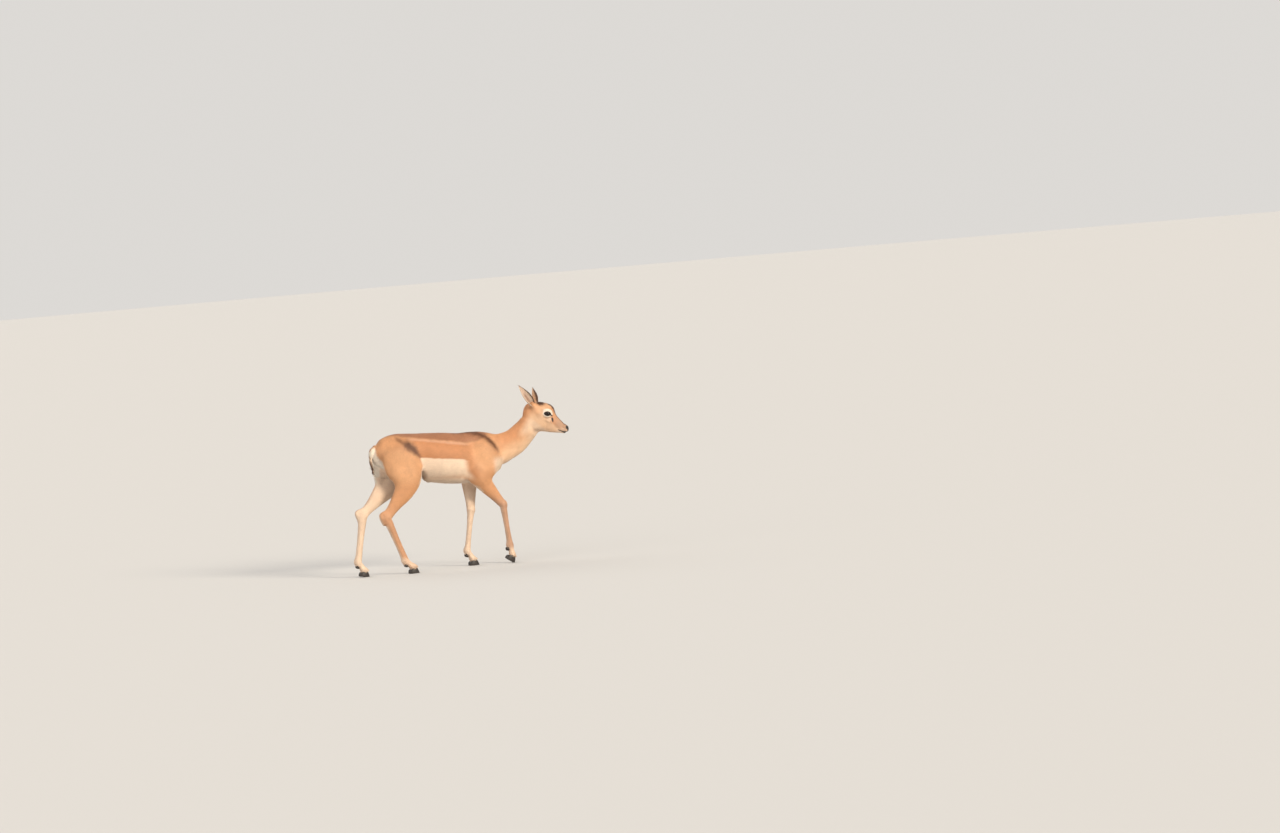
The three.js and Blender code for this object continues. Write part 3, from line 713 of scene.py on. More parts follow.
def make_ear(side, lean, thickness):
    rows, columns = 44, 26
    along = unit(np.array(lean, float))
    root = vec(-9, 30 * side, 29)
    opening = vec(0.55, 0.72 * side, 0.42)
    opening = unit(opening - (opening @ along) * along)
    across = np.cross(along, opening)
    rings, places = [], []
    for t in np.linspace(0, 1, rows):
        t = 1 - (1 - t) ** 1.25
        swell = math.sin(math.pi * (0.08 + 0.84 * t) ** 0.8)
        width = EAR["width"] * (0.3 + 0.7 * swell) * (1 - t**2.2) ** 0.6
        curl = math.radians(mix(125, 50, t**0.6))
        radius = max(width, 3) / (2 * curl)
        ring, place = [], []
        for layer in (0, 1):
            for c in range(columns) if layer == 0 else reversed(range(columns)):
                share = 2 * c / (columns - 1) - 1
                angle = curl * share
                thick = thickness * mix(1, 0.6, t) * (1 - 0.45 * share**2)
                fold = 0.8 * math.cos(9 * share) * math.exp(-4 * t) * layer
                inset = 0.55 + (thick - fold if layer else 0)
                r = radius - inset
                spot = root + along * (t * (EAR["length"] - 2)) + across * (r * math.sin(angle))
                spot = spot + opening * (radius * 0.5 - r * math.cos(angle) - 10 * t * t)
                ring.append(spot)
                place.append((t, -side * share, layer))
        rings.append(ring)
        places.append(place)
    points, faces = ring_mesh(np.array(rings))
    places = np.vstack([np.array(places).reshape(-1, 3), [0, 0, 0.5], [1, 0, 0.5]])
    return from_head(points), faces, places, HEAD_TURN @ along


# Where every point of the skin lies: its region, its place round and along, and the coat's lie
FLOW = {"trunk": -1, "neck": -1, "head": -1, "tail": 1, **{leg: 1 for leg in LEGS}}


def survey(p, normal):
    """Region, (round, along) from 0 to 1, and the direction that hair lies in, for each point."""
    sweeps = {"trunk": trunk, "neck": neck, "tail": tail}
    sweeps.update({name: limb["sweep"] for name, limb in limbs.items()})
    q = to_head(p)
    best = np.full(len(p), 1e9)
    region = np.zeros(len(p), int)
    place = np.zeros((len(p), 2))
    rows = []
    for name in REGIONS[:8]:
        if name == "head":
            d, t, angle, along = wedge.locate(q)
            along = along @ HEAD_TURN.T
            d = d - 6 * ramp(q[:, 0], 0, 20)
            last = wedge.last
        else:
            d, t, angle, along = sweeps[name].locate(p)
            last = sweeps[name].last
        if name == "tail":
            d = d - 2
        rows.append((np.maximum(d, -40), along * FLOW[name]))
        closer = d < best
        best[closer] = d[closer]
        region[closer] = REGION[name]
        place[closer, 0] = (angle / (2 * math.pi) + 0.5)[closer]
        place[closer, 1] = (t / last)[closer]
    flow = sum(np.exp(-(d - best) / 12)[:, None] * along for d, along in rows)
    outer = ramp(p[:, 2], 420, 520) * ramp(p[:, 0], 380, 300)
    flow = flow + vec(0, 0, -0.45) * outer[:, None] * (1 - np.abs(normal[:, 2:]))
    sway = np.column_stack([noise(p, 34, 1), noise(p, 34, 2), noise(p, 34, 3)])
    flow = unit(flow) + 0.16 * sway
    flow = flow - (flow * normal).sum(1)[:, None] * normal
    return region, place, unit(flow)


# Markings, the same for the skin and for the coat

BACK_EDGE = [
    (-240, 618), (-126, 606), (-71, 594), (53, 572), (190, 547), (240, 552), (300, 575), (360, 590),
]
BELLY_EDGE = [(-90, 512), (-37, 508), (22, 500), (91, 490), (147, 485), (183, 474), (240, 455)]
HAUNCH_EDGE = [(380, -70), (420, -49), (471, -30), (513, -40), (560, -62)]
ARM_EDGE = [(370, 205), (400, 188), (430, 174), (470, 170), (490, 178), (510, 200)]
SEAT_EDGE = [(370, -176), (406, -186), (434, -198), (507, -210), (554, -233), (580, -246)]
FACE_EDGE = [(62, 34), (76, 12), (92, 0), (120, -7), (150, -9)]
# Painted shade: dark streaks in the fold in front of the haunch, behind the hip bone and down the hollow
# between neck and shoulder; the last also paints the real dark hair over the withers.
STREAKS = (  # line, half width at its start and end, softness, strength
    ([(-92, 574), (-66, 550), (-37, 508)], 23, 8, 13, 1.0),
    ([(-130, 600), (-104, 572)], 8, 10, 10, 0.7),
    ([(140, 603), (206, 598), (250, 586), (284, 562), (308, 530), (324, 498)], 8, 11, 11, 1.0),
)


def interp(value, line):
    """Height of a line of (place, height) pairs at value."""
    return np.interp(value, *np.array(line, float).T)


def blot(u, v, at, reach, power=2):
    """1 at a place and fading away round it."""
    return np.exp(-(((u - at[0]) / reach[0]) ** power) - ((v - at[1]) / reach[1]) ** power)


class Paint:
    """The colour of each point, painted over layer by layer."""

    def __init__(self, tint, base, count):
        self.tint = tint
        self.colour = np.tile(tint[base], (count, 1))

    def over(self, other, amount):
        """Lays a colour, or one that the settings name, over this one by amount."""
        if isinstance(other, str):
            other = self.tint[other]
        self.colour = self.colour + (other - self.colour) * np.clip(amount, 0, 1)[:, None]
        return self.colour


def facing_in(p, normal):
    """1 where the skin faces the middle of the animal, as inside the legs."""
    side = np.where(p[:, 1] < 0, -1.0, 1.0)
    return ramp(-normal[:, 1] * side + 0.15 * noise(p, 16, 9), 0.05, 0.5)


def paint_trunk(coat, p, normal, rough):
    x, y, z = p.T
    flat = np.column_stack([x + rough, z + rough])
    on_trunk = ramp(x, -262, -250) * ramp(x, 372, 340) * ramp(z, 380, 420)
    left = y > 0
    haunch_edge = interp(z, HAUNCH_EDGE) - 30 * ramp(z, 545, 425) * left
    arm_edge = interp(z, ARM_EDGE) - 14 * left

    # Back, flank and the pale line between them
    mid = ramp(x, -78, -50) * ramp(x, 232, 196)
    edge = interp(x, BACK_EDGE) + rough
    coat.over("back", on_trunk * ramp(z, edge - 2, edge + 12) * ramp(x, 330, 270))
    belly = interp(x, BELLY_EDGE) + 0.8 * rough
    coat.over("flank", on_trunk * mid * ramp(z, edge, edge - 8) * 0.9)
    # Painted shade: the flank's own colour is darkened to 0.84 towards the belly line, where the body turns
    # under.
    coat.over(coat.tint["flank"] * 0.84, on_trunk * mid * ramp(z, edge - 20, belly) * 0.7)
    line = interp(x, BACK_EDGE) - 2 + 0.5 * rough
    stripe = between(z, line - 5, line + 5, 4) * ramp(x, -92, -66) * ramp(x, 208, 168)
    coat.over("stripe", 0.9 * stripe)

    # Painted light and shade: haunch and shoulder are painted lighter where their bulges catch the light,
    # with painted shade in the folds in front of them
    haunch_highlight = ramp(x, haunch_edge + 2, haunch_edge - 10)
    coat.over("light", haunch_highlight * between(z, 400, 560, 30) * 0.8 * ramp(x, -225, -185))
    # Painted shade: a soft patch of the back's colour below the hip bone, in the fold in front of the haunch.
    coat.over("back", 0.5 * blot(x, z, (-96, 562), (26, 20)) * on_trunk)
    # Painted highlight: the shoulder's bulge is painted in the lighter tan.
    coat.over("light", 0.8 * blot(x, z, (262, 482), (62, 62)))
    # Painted shade in the folds and hollows, and the real dark hair over the withers.
    for chain, first, last, soft, strength in STREAKS:
        d, along = line_distance(flat, chain)
        half = mix(first, last, along) * np.sin(math.pi * np.clip(0.2 + 0.65 * along, 0, 1))
        fold_shade_and_withers_mask = ramp(d, half + soft, half - soft) * ramp(z, 474, 520)
        coat.over("fold_shade_and_withers_mark", strength * fold_shade_and_withers_mask * on_trunk)

    # Cream underside, breast and inner sides of the thighs
    under = ramp(z, belly + 3, belly - 3) * ramp(x, arm_edge + 18, arm_edge - 16)
    under = under * ramp(x, haunch_edge - 5, haunch_edge + 5) * on_trunk
    below = ramp(normal[:, 2], -0.42, -0.75) * ramp(x, 352, 330) * (z > 330)
    coat.over("cream", np.maximum(under, below))
    # Painted shade: the lowest belly is painted the warmer tan of the throat, strongest at its bottom.
    shade = ramp(z, 430, 385) * between(x, -40, 190, 20)
    coat.over("pale", 0.75 * under * shade)
    coat.over("cream", blot(x, z, (330, 440), (32, 36), 4))
    top = np.where(x < 60, 545, 440)
    coat.over("cream", 0.9 * (facing_in(p, normal) * ramp(z, top + 20, top - 20)))


def paint_neck(coat, p, region):
    """Tan on top, paler below."""
    x = p[:, 0]
    pick = np.flatnonzero(x > 300)
    turn = np.zeros(len(p))
    turn[pick] = np.cos(neck.locate(p[pick])[2])
    turn += 0.12 * noise(p, 30, 8)
    on_neck = ramp(x, 312, 365) * (region < REGION["fore_right"])
    coat.over("neck", on_neck * ramp(turn, -0.2, 0.6) * 0.85)
    coat.over("pale", on_neck * ramp(turn, 0.5, -0.7) * 0.9)
    coat.over("cream", on_neck * ramp(turn, -0.75, -1) * 0.6)


def paint_legs(coat, p, normal):
    """Tan outside, cream inside, greyer below the knee and pale round the pasterns."""
    x, _, z = p.T
    fore = x > 120
    coat.over("shin", ramp(z, 330, 250) * np.where(fore, 0.85, 0.4))
    coat.over("cream", 0.85 * (facing_in(p, normal) * ramp(z, 335, 325)))
    # Cream on the rear edges of the legs: partly their pale hair, partly painted rim light.
    behind = ramp(-normal[:, 0], 0.35, 0.8) * ramp(z, 345, 240) * ramp(z, 30, 60)
    coat.over("cream", behind * np.where(fore, 0.35, 0.7))
    # Painted rim light: cream along the front edges of the legs.
    ahead = ramp(normal[:, 0], 0.45, 0.85) * between(z, 250, 400, 30)
    coat.over("cream", ahead * np.where(fore, 0.3, 0.6))
    coat.over("cream", ramp(z, 84, 62) * 0.7)
    coat.over("dark", ramp(z, 46, 30) * 0.15)


def paint_rear(coat, p, normal, region, place, rough):
    """White seat on both sides of the tail, and the tail itself with its dark upper side."""
    x, y, z = p.T
    edge = interp(z, SEAT_EDGE) + 14 * ramp(np.abs(y), 34, 20) - 30 * ramp(z, 540, 400) * (y > 0)
    seat = ramp(x + 0.6 * rough, edge + 4, edge - 3) * between(z + 0.5 * rough, 408, 574, 16)
    coat.over("white", 0.9 * seat)
    on_tail = (region == REGION["tail"]) * 1.0
    coat.over("cream", on_tail * ramp(z + 0.6 * rough, 572, 564))
    topline = on_tail * ramp(np.abs(y) + rough, 8.5, 4.5) * ramp(normal[:, 2] - normal[:, 0], -0.1, 0.4)
    coat.over(mix(coat.tint["tan"], coat.tint["dark"], 0.35), topline)
    coat.over("dark", topline * ramp(place[:, 1], 0.4, 0.65))


def body_colour(p, normal, region, place, tint):
    """Colour of everything but the face and the ears."""
    coat = Paint(tint, "tan", len(p))
    rough = 2.4 * noise(p, 11, 5) + 1.6 * noise(p, 4.5, 6)
    paint_trunk(coat, p, normal, rough)
    paint_neck(coat, p, region)
    paint_legs(coat, p, normal)
    paint_rear(coat, p, normal, region, place, rough)

    # Dark line over the withers and a faint one along the back
    x, y, z = p.T
    ridge = ramp(np.abs(y) + 0.6 * rough, 11, 3) * ramp(normal[:, 2], 0.3, 0.7) * (z > 560)
    ridge = ridge * ramp(x, -235, -200)
    return coat.over("dark", ridge * (0.2 + 0.8 * between(x, 140, 262, 26)))


def head_colour(p, normal, tint):
    """Colour of the head, worked out in its own frame."""
    q = to_head(p)
    x, y, z = q.T
    rough = 1.3 * noise(p, 7, 11) + 0.8 * noise(p, 3, 12)
    wide = np.abs(y)
    rim, _ = lid_distance(q)
    coat = Paint(tint, "pale", len(p))
    coat.over("tan", 0.6 * ramp(x, 50, 20) * ramp(z + rough, -16, 14))
    edge = interp(x, FACE_EDGE)
    coat.over("face", ramp(z + rough, edge - 7, edge + 6) * ramp(x, 60, 76))
    top = ramp(normal @ (HEAD_TURN @ vec(0.25, 0, 0.97)), 0.25, 0.8)
    coat.over("tan", top * 0.6 * ramp(x, 120, 90))
    coat.over("muzzle", ramp(x + 0.3 * z, 104, 128) * ramp(z, -18, -10) * 0.85)
    coat.over("cream", ramp(z + 0.25 * (x - 60), -28, -42) * ramp(x, 150, 120) * 0.5)

    # Crown between the ears, forehead and the bridge of the nose
    crown = blot(x, z, (18, 57), (16, 18)) * ramp(wide + 2 * rough, 36, 20)
    coat.over(tint["dark"] * 0.6, 1.3 * crown + 0.4 * noise(p, 5, 13) * crown)
    fuzzy = wide + 1.5 * rough + 2.2 * noise(p, 9, 14)
    half = interp(x, [(40, 10), (58, 15), (74, 14.5), (92, 9), (110, 5), (135, 5.5), (158, 9)])
    soft = interp(x, [(60, 5), (100, 3), (150, 2.5)])
    blaze = between(x, 44, 162, 9) * ramp(fuzzy, half + soft, half - soft) * ramp(z, 2, 9)
    strength = interp(x, [(44, 0.95), (84, 0.95), (104, 0.65), (125, 0.55), (148, 0.85)])
    blackish = mix(tint["dark"] * 0.6, tint["dark"], ramp(x, 80, 110)[:, None])
    coat.over(blackish, blaze * strength)

    # Pale ring round the eye, widest above it, pale cheek behind the tear gland, and the gland
    above = ramp(z, 24, 36)
    ring = ramp(rim + 0.6 * rough, mix(8.5, 15, above), mix(5, 11, above)) * ramp(wide, 13, 18)
    # Painted shade: a line of the face's tan along the crease of the lid fold above the eye.
    brow = between(rim + 0.4 * rough, 6.2, 7.8, 1) * above
    coat.over("white", ring)
    coat.over("face", 0.45 * brow * (wide > 14))
    coat.over("cream", 0.8 * (blot(x, z, (83, 10), (9, 9)) * (wide > 12)))
    coat.over("black", bare_marks(q, rim))

    # Nose, lips and chin
    pad = nose_pad(q)
    mouth = np.abs(z - interp(x, MOUTH))
    coat.over("cream", between(z, -32, -17, 2) * ramp(x, 122, 142) * 0.7)
    white_lip = between(z, -13, -3, 3) * ramp(x, 136, 156) * ramp(wide, 3, 6)
    coat.over("cream", white_lip * 0.45)
    thick = interp(x, [(138, 1.8), (158, 3.0), (172, 4.2)])
    lips = ramp(mouth + 0.3 * rough, thick + 0.8, thick - 0.8) * ramp(x, 132, 139)
    coat.over("black", lips)
    cleft = ramp(wide, 2.6, 1.2) * ramp(x, 160, 166) * between(z, -14, 6, 1)
    return coat.over("black", np.maximum(pad, cleft))


def bare_marks(q, rim):
    """The black lids, the streak in front of each eye and the gland below it, from 0 to 1."""
    x, y, z = q.T
    lid = ramp(rim, 3.0, 2.1)
    corner, along = line_distance(q[:, [0, 2]], [(73, 31), (87, 27)])
    streak = ramp(corner, mix(4.0, 2.6, along), mix(3.0, 1.8, along)) * (np.abs(y) > 14)
    gland = np.hypot((x - 95.5 + 0.6 * (z - 12)) / 5.6, (z - 12) / 9.6)
    return np.maximum(np.maximum(lid, streak), ramp(gland, 1.1, 0.85) * (np.abs(y) > 12))


def nose_pad(q):
    """1 on the bare black skin of the nose."""
    x, y, z = q.T
    middle = np.hypot(np.hypot((x - 173) / 11.5, (z - 4) / 16), y / 10.5)
    nostril = np.hypot(np.hypot((x - 168) / 9.5, (z - 7) / 8.5), (np.abs(y) - 8) / 8)
    return ramp(np.minimum(middle, nostril), 1.08, 0.96)


def ear_colour(place, p, tint):
    """Colour of the ears: pale inside, with a dark front edge and a dark tip."""
    t, front, inside = place.T
    rough = 0.08 * noise(p, 5, 15)
    wide = np.abs(front) + rough
    coat = Paint(tint, "tan", len(p))
    coat.over("pale", 0.35 + 0.3 * ramp(front, 0.2, -0.6))
    inner = Paint(tint, "inner_ear", len(p))
    inner.over("cream", ramp(wide, 0.3, 0.7))
    groove = ramp(wide, 0.32, 0.12) * between(t, 0.12, 0.55, 0.1)
    inner.over(tint["dark"] * 2, 0.6 * groove)
    coat.colour = np.where((inside > 0.5)[:, None], inner.colour, coat.colour)
    rim = np.where(inside > 0.5, ramp(front + rough, 0.84, 0.92), ramp(front + rough, 0.55, 0.75))
    coat.over(tint["dark"] * 0.7, rim * 0.95)
    coat.over("cream", ramp(-front + rough, 0.66, 0.8) * ramp(t, 1.0, 0.9))
    return coat.over("dark", ramp(t + rough, 0.93, 1.02) * 0.6)


def markings(p, normal, region, place, ear_place, tint):
    """Colour of each point of the skin or root of a tuft."""
    colour = body_colour(p, normal, region, place, tint)
    q = to_head(p)
    in_reach = (q[:, 0] > -34) & (p[:, 2] > 545) & (p[:, 0] > 420)
    pick = np.flatnonzero(in_reach & (region < REGION["ear_left"]))
    blend = ramp(q[pick, 0], -26, 14) * np.maximum(ramp(p[pick, 2], 546, 592), ramp(q[pick, 0], 20, 50))
    colour[pick] = mix(colour[pick], head_colour(p[pick], normal[pick], tint), blend[:, None])
    pick = np.flatnonzero(region >= REGION["ear_left"])
    colour[pick] = ear_colour(ear_place[pick], p[pick], tint)
    vary = 1 + 0.05 * noise(p, 45, 20) + 0.05 * noise(p, 14, 21)
    return np.clip(colour * vary[:, None], 0.002, 0.98)


# Shader maths


class Socket:
    """A shader socket that can be added, scaled and mixed with others."""

    def __init__(self, tree, source=None):
        self.tree = tree
        self.source = source

    def node(self, kind, settings=None, sockets=None, output=0):
        """Makes a node of a kind: sets its settings, then its sockets, and gives one output."""
        made = self.tree.nodes.new("ShaderNode" + kind)
        for key, value in (settings or {}).items():
            setattr(made, key, value)
        for key, value in (sockets or {}).items():
            if isinstance(value, Socket):
                self.tree.links.new(value.source, made.inputs[key])
            else:
                made.inputs[key].default_value = value
        return Socket(self.tree, made.outputs[output])

    def maths(self, operation, *others, clamp=False):
        sockets = dict(enumerate((self, *others)))
        return self.node("Math", {"operation": operation, "use_clamp": clamp}, sockets)

    def __add__(self, other):
        return self.maths("ADD", other)

    def __sub__(self, other):
        return self.maths("SUBTRACT", other)

    def __rsub__(self, other):
        return self * -1 + other

    def __mul__(self, other):
        return self.maths("MULTIPLY", other)

    __radd__ = __add__
    __rmul__ = __mul__

    def tinted(self, low, high):
        """low and high mixed by this socket. Each is a colour or a socket."""
        ends = {6: low, 7: high}
        ends = {key: end if isinstance(end, Socket) else (*end, 1) for key, end in ends.items()}
        return self.node("Mix", {"data_type": "RGBA"}, {0: self, **ends}, output=2)

    def into(self, shader, name):
        self.tree.links.new(self.source, shader.inputs[name])


def new_material(name, constants):
    """A material, its shader with these constants, and a socket to begin from."""
    material = bpy.data.materials.new(name)
    material.use_nodes = True
    shader = material.node_tree.nodes["Principled BSDF"]
    for key, value in constants.items():
        shader.inputs[key].default_value = value
    return material, shader, Socket(material.node_tree)


def object_noise(start, scale, detail):
    spot = start.node("TexCoord", output=3)
    return start.node("TexNoise", sockets={"Vector": spot, "Scale": scale, "Detail": detail})


def bump_into(shader, height, strength, distance):
    sockets = {"Strength": strength, "Distance": distance, "Height": height}
    height.node("Bump", sockets=sockets).into(shader, "Normal")


def hair_material(name, bump):
    """Coat and skin: the stored marking colour, with fine strands in colour and bump."""
    constants = {"Roughness": 0.62, "Sheen Weight": 0.25, "Sheen Roughness": 0.4}
    material, shader, start = new_material(name, constants)
    marking = start.node("VertexColor", {"layer_name": "marking"})
    fine = object_noise(start, 420.0, 3.0)
    light = fine * 0.36 + object_noise(start, 55.0, 2.0) * 0.2
    shaded = (light + 0.22).tinted((0, 0, 0), marking)
    (light * 0.9).tinted(marking, shaded).into(shader, "Base Color")
    (fine * 0.14 + 0.55).into(shader, "Roughness")
    bump_into(shader, fine, bump, 0.0006)
    return material


def hoof_material(settings):
    """Nearly black horn with growth rings and worn grain."""
    material, shader, start = new_material("hoof_horn", {"Roughness": 0.42})
    spot = start.node("TexCoord", output=3)
    wave = {"Vector": spot, "Scale": 95.0, "Distortion": 3.0, "Detail": 3.0}
    rings = start.node("TexWave", {"bands_direction": "Z"}, wave, output=1)
    grain = object_noise(start, 160.0, 4.0)
    worn = tuple(2.6 * c for c in settings.hoof_colour)
    (grain * 0.55 + rings * 0.2).tinted(settings.hoof_colour, worn).into(shader, "Base Color")
    (grain * 0.3 + 0.3).into(shader, "Roughness")
    bump_into(shader, rings * 0.5 + grain, 0.5, 0.0004)
    return material


def eye_material(settings):
    """Dark brown iris with a wide level pupil, read from a stored place on the eyeball."""
    material, shader, start = new_material("eye", {"Roughness": 0.05, "Specular IOR Level": 0.3})
    place = start.node("Attribute", {"attribute_name": "iris"}, output=1)
    across, up = (start.node("SeparateXYZ", sockets={0: place}, output=k) for k in (0, 1))
    pupil = (across * across * 0.016 + up * up * 0.062).maths("SQRT")
    edge = (pupil - 0.9).maths("MULTIPLY", 4.0, clamp=True)
    fibre = object_noise(start, 900.0, 3.0)
    iris = fibre.tinted(settings.iris_colour, tuple(0.35 * c for c in settings.iris_colour))
    edge.tinted(settings.pupil_colour, iris).into(shader, "Base Color")
    return material


# Coat

LENGTH, WIDTH, HEIGHT, AREA = range(4)  # columns of HAIR: of a tuft, and the skin for one, in mm
HAIR = {
    "trunk": (11.5, 1.3, 0.36, 2.3),
    "neck": (10.5, 1.2, 0.34, 2.1),
    "head": (4.6, 0.72, 0.22, 1.15),
    "tail": (17, 1.2, 0.45, 0.85),
    **{leg: (6.5, 0.92, 0.28, 1.8) if "fore" in leg else (7.5, 1.0, 0.3, 2.15) for leg in LEGS},
    **{ear: (6.5, 0.65, 0.22, 1.0) for ear in ("ear_left", "ear_right")},
}
HAIR_OF_REGION = np.array([HAIR[name] for name in REGIONS])


def hair_length(p, normal, region, ear_place):
    """Length of the hair at each root, in mm."""
    length = HAIR_OF_REGION[region, LENGTH]
    x, y, z = p.T
    on_trunk, on_head, on_tail = (region == REGION[name] for name in ("trunk", "head", "tail"))
    on_leg = (region >= REGION["fore_right"]) & (region <= REGION["hind_left"])
    length = np.where(on_leg, mix(length, 10.0, ramp(z, 330, 430)), length)
    length = np.where(on_leg, length * mix(0.8, 1, ramp(z, 50, 90)) + 5 * ramp(z, 52, 30), length)
    length = np.where(on_tail, length * mix(0.5, 1, ramp(z, 570, 520)), length)
    length = np.where(on_trunk & (x < -60), mix(8.5, length, ramp(z, 410, 500)), length)
    length = length + 3 * blot(x, y, (10, 0), (8, 7)) * (z < 420)
    length = length + 3.5 * ramp(normal[:, 2], -0.5, -0.85) * on_trunk
    seat = ramp(-normal[:, 0], 0.4, 0.8) * between(z, 445, 560, 40) * (x < -150)
    length = length + 5 * seat
    q = to_head(p)
    length = np.where(on_head, mix(7.5, length, ramp(q[:, 0], 0, 40)), length)
    length = np.where(on_head, length * mix(1, 0.5, ramp(q[:, 0], 90, 150)), length)
    rim, _ = lid_distance(q)
    length = np.where(on_head, length * np.clip((rim - 1.0) / 9, 0.28, 1), length)
    crown = np.exp(-(((q[:, 0] - 10) / 16) ** 2)) * ramp(q[:, 2], 40, 52) * on_head
    length = length + 5 * crown
    t, share, inside = ear_place.T
    edge = ramp(np.abs(share), 0.7, 0.95)
    fringe = 1 + 0.5 * edge * (1 - 0.5 * t) + 0.5 * (inside > 0.5) * (1 - t)
    return np.where(region >= REGION["ear_left"], length * fringe, length)


def tufts(p, normal, flow, length, width, height, lift, colour, rng):
    """Four-sided slivers, one on each root: points, faces, normals and colours, with painted shade on the
    root corners.
    """
    count = len(p)
    turn = rng.normal(0, 0.13, count)[:, None]
    side = np.cross(normal, flow)
    along = unit(flow + turn * side)
    side = np.cross(normal, along)
    rise = (lift * rng.uniform(0.6, 1.5, count))[:, None]
    long = (length * rng.uniform(0.75, 1.2, count))[:, None]
    half = (width * rng.uniform(0.8, 1.25, count))[:, None] / 2
    root = p - 0.45 * normal
    left, right = root - half * side, root + half * side
    ridge = p + height[:, None] * normal + along * long * 0.3 + normal * rise * long * 0.35
    tip = p + along * long * (1 - 0.5 * rise**2) + normal * rise * long
    points = np.stack([left, right, ridge, tip], axis=1).reshape(-1, 3)
    base = np.arange(count)[:, None, None] * 4
    faces = (base + np.array([[0, 2, 1], [0, 3, 2], [1, 2, 3], [0, 1, 3]])).reshape(-1, 3)
    soft = np.stack([
        normal - 0.22 * side - 0.05 * along,
        normal + 0.22 * side - 0.05 * along,
        normal,
        normal + 0.12 * along,
    ], axis=1)
    shade = colour * (1 + rng.normal(0, 0.075, count))[:, None]
    # Painted shade: each tuft's two root corners are painted at 0.86 of its colour, as shade among the roots;
    # the tip is painted 8% lighter.
    colours_with_root_shade = np.stack([shade * 0.86, shade * 0.86, shade, np.minimum(shade * 1.08, 1)], axis=1)
    return points, faces, unit(soft).reshape(-1, 3), colours_with_root_shade.reshape(-1, 3)


def coat_piece(name, mesh_parts, unwrap, material):
    """One joined mesh of tufts, with each tuft a small patch at its root's place on the unwrap."""
    points, faces, normals, colours_with_root_shade = mesh_parts
    made = new_object(name, points, faces, material)
    mesh = made.data
    store(mesh, "marking", "FLOAT_COLOR", colours_with_root_shade)
    patch = 0.0015 * np.array([[-1, -1], [1, -1], [0, 0.2], [0, 1.0]])
    spots = (0.02 + 0.96 * unwrap)[:, None, :] + patch
    layer = mesh.uv_layers.new(name="OFBake")
    corners = spots.reshape(-1, 2)[faces.ravel()].astype(np.float32)
    layer.data.foreach_set("uv", corners.ravel())
    mesh.normals_split_custom_set_from_vertices(normals.astype(np.float32))
    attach(made, "root")


# The add-on

LEG_PARTS = {"fore": ("upper", "cannon", "pastern"), "hind": ("thigh", "gaskin", "cannon", "pastern")}
ANIMAL_NODES = [
    "trunk", "neck", "head", "tail", "ear_left", "ear_right",
    *(f"{leg}_{part}" for leg in LEGS for part in LEG_PARTS[leg[:4]]),
]
TINTS = [
    "tan", "light", "back", "flank", "stripe", "neck", "pale", "cream", "white", "face", "muzzle",
    "shin", "inner_ear", "fold_shade_and_withers_mark", "dark", "black",
]


def length_property(name, description, value):
    return bpy.props.FloatProperty(
        name=name, description=description, default=value, min=0, subtype="DISTANCE", precision=5)


def colour_property(name, description, value):
    return bpy.props.FloatVectorProperty(
        name=name, description=description, default=value, subtype="COLOR", size=3, min=0, max=1)


class BlackbuckSettings(bpy.types.PropertyGroup):
    """Sizes and colours of the model and its stage"""

    body_depth: length_property("Body coat", "Depth of the coat over the skin of the body", 0.0026)
    leg_depth: length_property("Leg coat", "Depth of the coat over the skin of the legs", 0.0015)
    head_depth: length_property("Head coat", "Depth of the coat over the skin of the head", 0.0012)
    ear_thickness: length_property("Ear thickness", "Thickness of the ears at their middle", 0.0021)
    coarse: length_property("Body spacing", "Spacing of the skin's mesh on the body", 0.004)
    fine: length_property("Head spacing", "Spacing of the skin's mesh on the head", 0.0016)
    lift: bpy.props.FloatProperty(
        name="Tuft rise", description="Rise of a tuft over its length", default=0.085, subtype="FACTOR",
        min=0, max=1)
    lens: bpy.props.FloatProperty(
        name="Lens", description="Focal length of the camera", default=164.5, unit="CAMERA")
    tan: colour_property("Tan", "Most of the coat", (0.70, 0.345, 0.165))
    # Painted highlight: this lighter tan is painted on the haunch and shoulder where they catch the light.
    light: colour_property("Light tan", "Haunch and shoulder", (0.80, 0.43, 0.22))
    back: colour_property("Back", "Back and upper haunch", (0.42, 0.185, 0.095))
    flank: colour_property("Flank", "Side below the back", (0.62, 0.265, 0.11))
    stripe: colour_property("Side stripe", "Pale line between back and flank", (0.72, 0.39, 0.24))
    neck: colour_property("Neck", "Upper side of the neck", (0.68, 0.31, 0.14))
    # On the lowest belly this colour is painted shade.
    pale: colour_property("Throat and cheek", "Throat, cheek and lowest belly", (0.92, 0.60, 0.38))
    cream: colour_property("Cream", "Underside, breast and insides of the legs", (0.90, 0.68, 0.51))
    white: colour_property("White", "Ring round the eye, and the seat", (0.98, 0.84, 0.70))
    face: colour_property("Face", "Side of the face", (0.62, 0.31, 0.165))
    muzzle: colour_property("Muzzle", "Side of the muzzle", (0.50, 0.30, 0.19))
    shin: colour_property("Shin", "Legs below the knee", (0.56, 0.33, 0.22))
    inner_ear: colour_property("Inner ear", "Inner side of the ears", (0.76, 0.55, 0.43))
    # Painted shade in the folds in front of the haunch and shoulder, and the real dark hair over the withers.
    fold_shade_and_withers_mark: colour_property("Fold shade and withers mark", "Haunch and shoulder marks", (0.15, 0.056, 0.025))
    dark: colour_property("Dark markings", "Forehead, withers, tail and ears", (0.13, 0.048, 0.020))
    black: colour_property("Black", "Nose, lips, lids and tear glands", (0.022, 0.015, 0.012))
    hoof_colour: colour_property("Hoof", "Claws and dewclaws", (0.014, 0.010, 0.008))
    iris_colour: colour_property("Iris", "Ring round the pupil", (0.030, 0.012, 0.005))
    pupil_colour: colour_property("Pupil", "Pupil of the eye", (0.003, 0.003, 0.004))
    floor_colour: colour_property("Floor", "Studio floor", (0.58, 0.57, 0.56))


